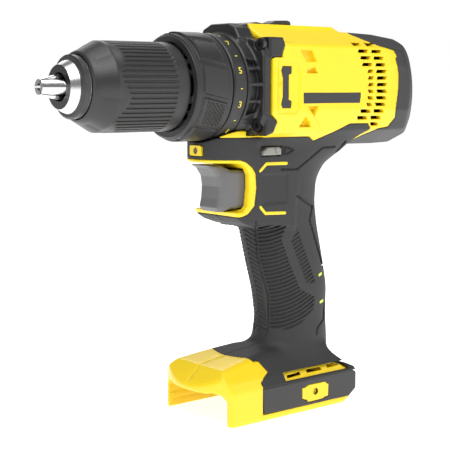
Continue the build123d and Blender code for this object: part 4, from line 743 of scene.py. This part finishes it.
def grip_shape(x, y, z):
    body = outer_body(x, y, z)
    zone = grip_zone(x, y, z) + 0.12
    rubber = meet(body + grip_relief(x, y, z), zone, 0.5)
    rubber = np.maximum(rubber, -(body + SKIN - 0.05))
    rubber = np.maximum(rubber, -CAP_SEAM(x, z) + 0.15)
    rubber = np.maximum(rubber, -149.0 - z)
    strip = np.maximum(np.maximum(np.abs(x - 136.0) - 22.4, np.abs(z + 145.9) - 2.1), 15 - np.abs(y))
    rubber = without(rubber, strip, 0.15)
    rubber = without(rubber, ears(x, y, z, 0.35), 0.2)
    rubber = without(rubber, control_openings(x, y, z), 0.4)
    rubber = without(rubber, bay(x, y, z), 0.2)
    return without(rubber, screw_wells(x, y, z), 0.3)


soft_rubber = finish_of("soft_grip_rubber", GRIP_GREY, 0.62, grain=0.3, bump=0.35, shade=0.10, edge_highlight=0.06)
for side, (near, far) in SIDES:
    sign = -1 if side == "left" else 1
    rubber = moulded(f"soft_grip_{side}", half_of(grip_shape, sign), (76, near, -149), (192, far, -17.5), HALF,
                     soft_rubber, "root")
    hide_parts(f"grip_{side}")

UPPER_STRIPE = stroke([(104.2, -41.3), (108.2, -38.0), (120.4, -38.1)], 0.85)
LOWER_STRIPE = stroke([(104.4, -59.4), (107.6, -62.7), (120.6, -63.3)], 0.85)
LIME_MARKS = [stroke([(147.6, -98.3), (150.2, -97.9)], 0.8), stroke([(148.4, -112.8), (151.0, -112.4)], 0.8)]


def stripe_shape(x, y, z):
    body = outer_body(x, y, z)
    lines = np.minimum(UPPER_STRIPE(x, z), LOWER_STRIPE(x, z))
    return meet(np.maximum(lines, 6 - np.abs(y)), np.maximum(body - 0.12, -(body + 1.2)), 0.3)


def lime_shape(x, y, z):
    body = outer_body(x, y, z)
    lines = np.minimum(LIME_MARKS[0](x, z), LIME_MARKS[1](x, z))
    return meet(np.maximum(lines, 2 - np.abs(y)), np.maximum(body - 0.15, -(body + 1.0)), 0.3)


moulded("grip_stripes", stripe_shape, (102, -20, -65), (123, 20, -36), 0.35, yellow_plastic,
        "root")
lime_plastic = finish_of("lime_inlay", (0.75, 0.90, 0.08), 0.4, grain=0.4)
moulded("palm_marks", lime_shape, (145, -16, -115), (154, 16, -95), 0.35, lime_plastic,
        "root")


# ---- End cap ----
# A charcoal moulding that closes the barrel behind the motor, with broad flat facets.
CAP_GREY = (0.030, 0.030, 0.031)


def cap_shape(x, y, z):
    side = np.abs(y)
    tube = barrel(x, y, z)
    facet = meet(tube, 0.66 * (side - 21.5) + 0.5 * (x - 203) + 0.006 * (z + 3) ** 2 - 3.0, 1.2)
    facet = meet(facet, 0.707 * (x + z - 231.0), 1.6)
    facet = meet(facet, 0.707 * (x - z - 231.0), 1.6)
    shell = np.maximum(facet, -(facet + WALL))
    return meet(shell, CAP_SEAM(x, z) + 0.2, 0.5)


cap_plastic = finish_of("charcoal_cap", CAP_GREY, 0.48, grain=0.4, bump=0.25, edge_highlight=0.08)
end_cap = moulded("rear_cap", cap_shape, (150, -29.4, -31), (214, 29.4, 29), FINE, cap_plastic, "root")
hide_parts("end_cap")


# ---- Side inlay and label ----
# Charcoal plastic set into the yellow barrel on both sides, and a plain printed plate.
def inlay_shape(x, y, z):
    body = outer_body(x, y, z)
    plate = np.maximum(INLAY(x, z) + 0.12, 20 - np.abs(y))
    return meet(plate, np.maximum(body + 0.75, -(body + 1.6)), 0.3)


moulded("barrel_inlay", inlay_shape, (106, -29.6, -11), (115, 29.6, 11), 0.4, cap_plastic, "root")
LABEL = outline([(121.2, -2.6), (161.8, -2.7), (161.2, -8.4), (121.3, -8.4)])


def label_shape(x, y, z):
    body = outer_body(x, y, z)
    side = np.abs(y)
    thickness = np.maximum(np.maximum(body - 0.08, side - 29.45), -(body + 0.5))
    return meet(np.maximum(LABEL(x, z), 20 - side), thickness, 0.02)


moulded("blank_label", label_shape, (120, -29.6, -9), (163, 29.6, -2), 0.4, cap_plastic, "root")


# ---- Foot panels, accessory pads and inserts ----
# Charcoal panels set into the sides of the foot, each with a yellow pad round a brass insert.
PANEL = outline([(97.6, -148.9), (98.5, -162.0), (157.7, -162.8), (163.2, -158.7), (163.2, -150.2), (160.2, -148.6)])
PAD = outline([(124.3, -152.8), (126.0, -152.8), (129.0, -151.8), (140.4, -151.9), (141.2, -152.9), (142.8, -153.4),
               (142.4, -159.8), (140.0, -159.9), (138.8, -160.6), (128.6, -160.7), (127.4, -159.4), (124.3, -158.4)])


def panel_shape(x, y, z):
    body = outer_body(x, y, z)
    plate = meet(np.maximum(PANEL(x, z), 24.7 - np.abs(y)), np.maximum(body + 0.05, -(body + 1.3)), 0.5)
    return without(plate, PAD(x, z) - 0.15, 0.2)


def pad_shape(x, y, z):
    body = outer_body(x, y, z)
    plate = meet(np.maximum(PAD(x, z), 24.9 - np.abs(y)), np.maximum(body, -(body + 1.3)), 0.4)
    return without(plate, np.hypot(x - 133.4, z + 155.9) - 1.7, 0.2)


panels = moulded("foot_side_panels", panel_shape, (96, -27.5, -163), (164, 27.5, -147), 0.45, cap_plastic,
                 "root")
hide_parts("foot_panels")
pads = moulded("foot_pads", pad_shape, (123, -27.6, -161), (144, 27.6, -151), 0.4, yellow_plastic,
               "root")
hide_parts("accessory_pads")
give(finish_of("dark_brass", (0.12, 0.09, 0.04), 0.4, metal=1.0), "screw_steel", "accessory_inserts")
give(yellow_plastic, "housing_yellow", "work_light_bezel")
led_lens = finish_of("led_lens", (0.10, 0.06, 0.03), 0.15, grain=0.5)
give(led_lens, "led_lens", "work_light_led")


# ---- Trigger, direction lever and speed selector ----
# The trigger is a mid-grey acetal moulding with a finger hollow, the lever a pale grey slider
# that pushes across the handle, and the selector a black thumb slide in the top deck.
TRIGGER_SIDE = outline([(78.4, -38.0), (82.2, -40.0), (85.0, -44.0), (85.9, -49.0), (85.3, -55.0), (84.2, -59.4),
                        (86.0, -61.6), (88.0, -61.4), (91.0, -59.9), (106.0, -59.9), (106.0, -40.8), (91.0, -40.8),
                        (87.0, -38.2)])
TRIGGER_TIP, TRIGGER_BACK = 8.0, 12.4


def trigger_shape(x, y, z):
    side = np.abs(y)
    half_width = TRIGGER_TIP + (TRIGGER_BACK - TRIGGER_TIP) * ramp(x, 85.5, 93.5)
    return meet(TRIGGER_SIDE(x, z), side - half_width, 2.4)


trigger_grey = finish_of("trigger_grey", (0.135, 0.135, 0.138), 0.42, grain=0.4, bump=0.15, shade=0.06, edge_highlight=0.1)
trigger = moulded("finger_trigger", trigger_shape, (78, -12.6, -62), (107, 12.6, -37.6), 0.4, trigger_grey,
                  "trigger")
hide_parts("trigger")
LEVER_SIDE = outline([(105.1, -33.7), (116.9, -33.7), (116.9, -30.4), (115.2, -29.7), (108.0, -29.7), (105.1, -31.6)])


def lever_shape(x, y, z):
    bar = meet(LEVER_SIDE(x, z), np.abs(y) - 18.6, 0.8)
    split = np.maximum(np.abs(x - 113.2 + 0.4 * (z + 31.7)) - 0.22, 17.9 - np.abs(y))
    return without(bar, split, 0.1)


lever_grey = finish_of("lever_grey", (0.27, 0.27, 0.255), 0.45, grain=0.4, shade=0.06, edge_highlight=0.1)
lever = moulded("direction_slider", lever_shape, (105, -18.7, -34), (117, 18.7, -29), 0.4, lever_grey,
                "direction_lever")
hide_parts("direction_lever")
KNOB_SIDE = outline([(121.6, 31.2), (123.0, 32.5), (125.6, 33.5), (133.6, 33.8), (135.5, 33.2), (135.9, 31.2)])


def knob_shape(x, y, z):
    knob = meet(KNOB_SIDE(x, z), np.abs(y) - 4.1, 1.0)
    groove = np.maximum(np.abs(((x - 124) % 2.0) - 1.0) - 0.35, np.maximum(33.15 - z, np.abs(x - 129) - 5))
    return without(knob, groove, 0.3)


knob = moulded("selector_knob", knob_shape, (121, -4.4, 31), (136.2, 4.4, 33.8), 0.3, case_black,
               "selector")
give(case_black, "case_black", "speed_selector")
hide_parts("speed_selector")


# ---- Floor, light and camera ----
# A pale seamless floor under soft studio lights. The camera stands at the left front, level with
# the spindle.
EYE = (-0.26728, -0.44691, 0.00011)
LOOK = (0.6256, 0.7709, -0.1195)
LENS = 91.91

floor_mesh = bpy.data.meshes.new("studio_floor")
FLOOR_Z = cad_box[0].z - 0.0003
floor_mesh.from_pydata([(-6, -6, FLOOR_Z), (8, -6, FLOOR_Z), (8, 8, FLOOR_Z), (-6, 8, FLOOR_Z)], [], [(0, 1, 2, 3)])
floor = bpy.data.objects.new("studio_floor", floor_mesh)
bpy.context.scene.collection.objects.link(floor)
paper = bpy.data.materials.new("pale_paper")
paper.use_nodes = True
paper_shader = paper.node_tree.nodes["Principled BSDF"]
paper_shader.inputs["Base Color"].default_value = (0.93, 0.93, 0.93, 1)
paper_shader.inputs["Roughness"].default_value = 0.9
paper_shader.inputs["Emission Color"].default_value = (1, 1, 1, 1)
paper_shader.inputs["Emission Strength"].default_value = 0.82
floor_mesh.materials.append(paper)


def soft_light(name, place, target, size, power):
    """A square studio light that faces a point."""
    lamp = bpy.data.lights.new(name, "AREA")
    lamp.size = size
    lamp.energy = power
    holder = bpy.data.objects.new(name, lamp)
    holder.location = place
    holder.rotation_euler = (Vector(target) - Vector(place)).to_track_quat("-Z", "Y").to_euler()
    bpy.context.scene.collection.objects.link(holder)


MIDDLE = (0.10, 0.0, -0.06)
soft_light("key_light", (-0.25, -0.55, 0.85), MIDDLE, 0.7, 6.5)
soft_light("top_light", (0.12, -0.10, 1.1), MIDDLE, 0.9, 6.0)
soft_light("fill_light", (-0.95, -0.35, 0.15), MIDDLE, 0.8, 1.9)
soft_light("side_light", (0.75, -0.85, 0.35), MIDDLE, 0.8, 2.4)
soft_light("rim_light", (0.5, 0.8, 0.6), MIDDLE, 0.6, 2.2)

# The object is lit by a dim sky, and the camera sees a white one behind it.
WHITE = (1, 1, 1, 1)
world = bpy.data.worlds.new("studio")
world.use_nodes = True
sky = world.node_tree
dim_sky = sky.nodes["Background"]
dim_sky.inputs["Color"].default_value = WHITE
dim_sky.inputs["Strength"].default_value = 0.25
white_sky = add_node(sky, "ShaderNodeBackground", Color=WHITE, Strength=1.0)
seen = sky.nodes.new("ShaderNodeLightPath")
either = add_node(sky, "ShaderNodeMixShader", n0=seen.outputs["Is Camera Ray"],
                  n1=dim_sky.outputs[0], n2=white_sky.outputs[0])
sky.links.new(either.outputs[0], sky.nodes["World Output"].inputs["Surface"])
bpy.context.scene.world = world
bpy.context.scene.view_settings.view_transform = "Standard"

camera_data = bpy.data.cameras.new("camera")
camera_data.lens = LENS
camera_data.sensor_width = 36
camera_data.clip_start, camera_data.clip_end = 0.01, 50
camera = bpy.data.objects.new("camera", camera_data)
camera.location = EYE
camera.rotation_euler = Vector(LOOK).to_track_quat("-Z", "Y").to_euler()
bpy.context.scene.collection.objects.link(camera)
bpy.context.scene.camera = camera
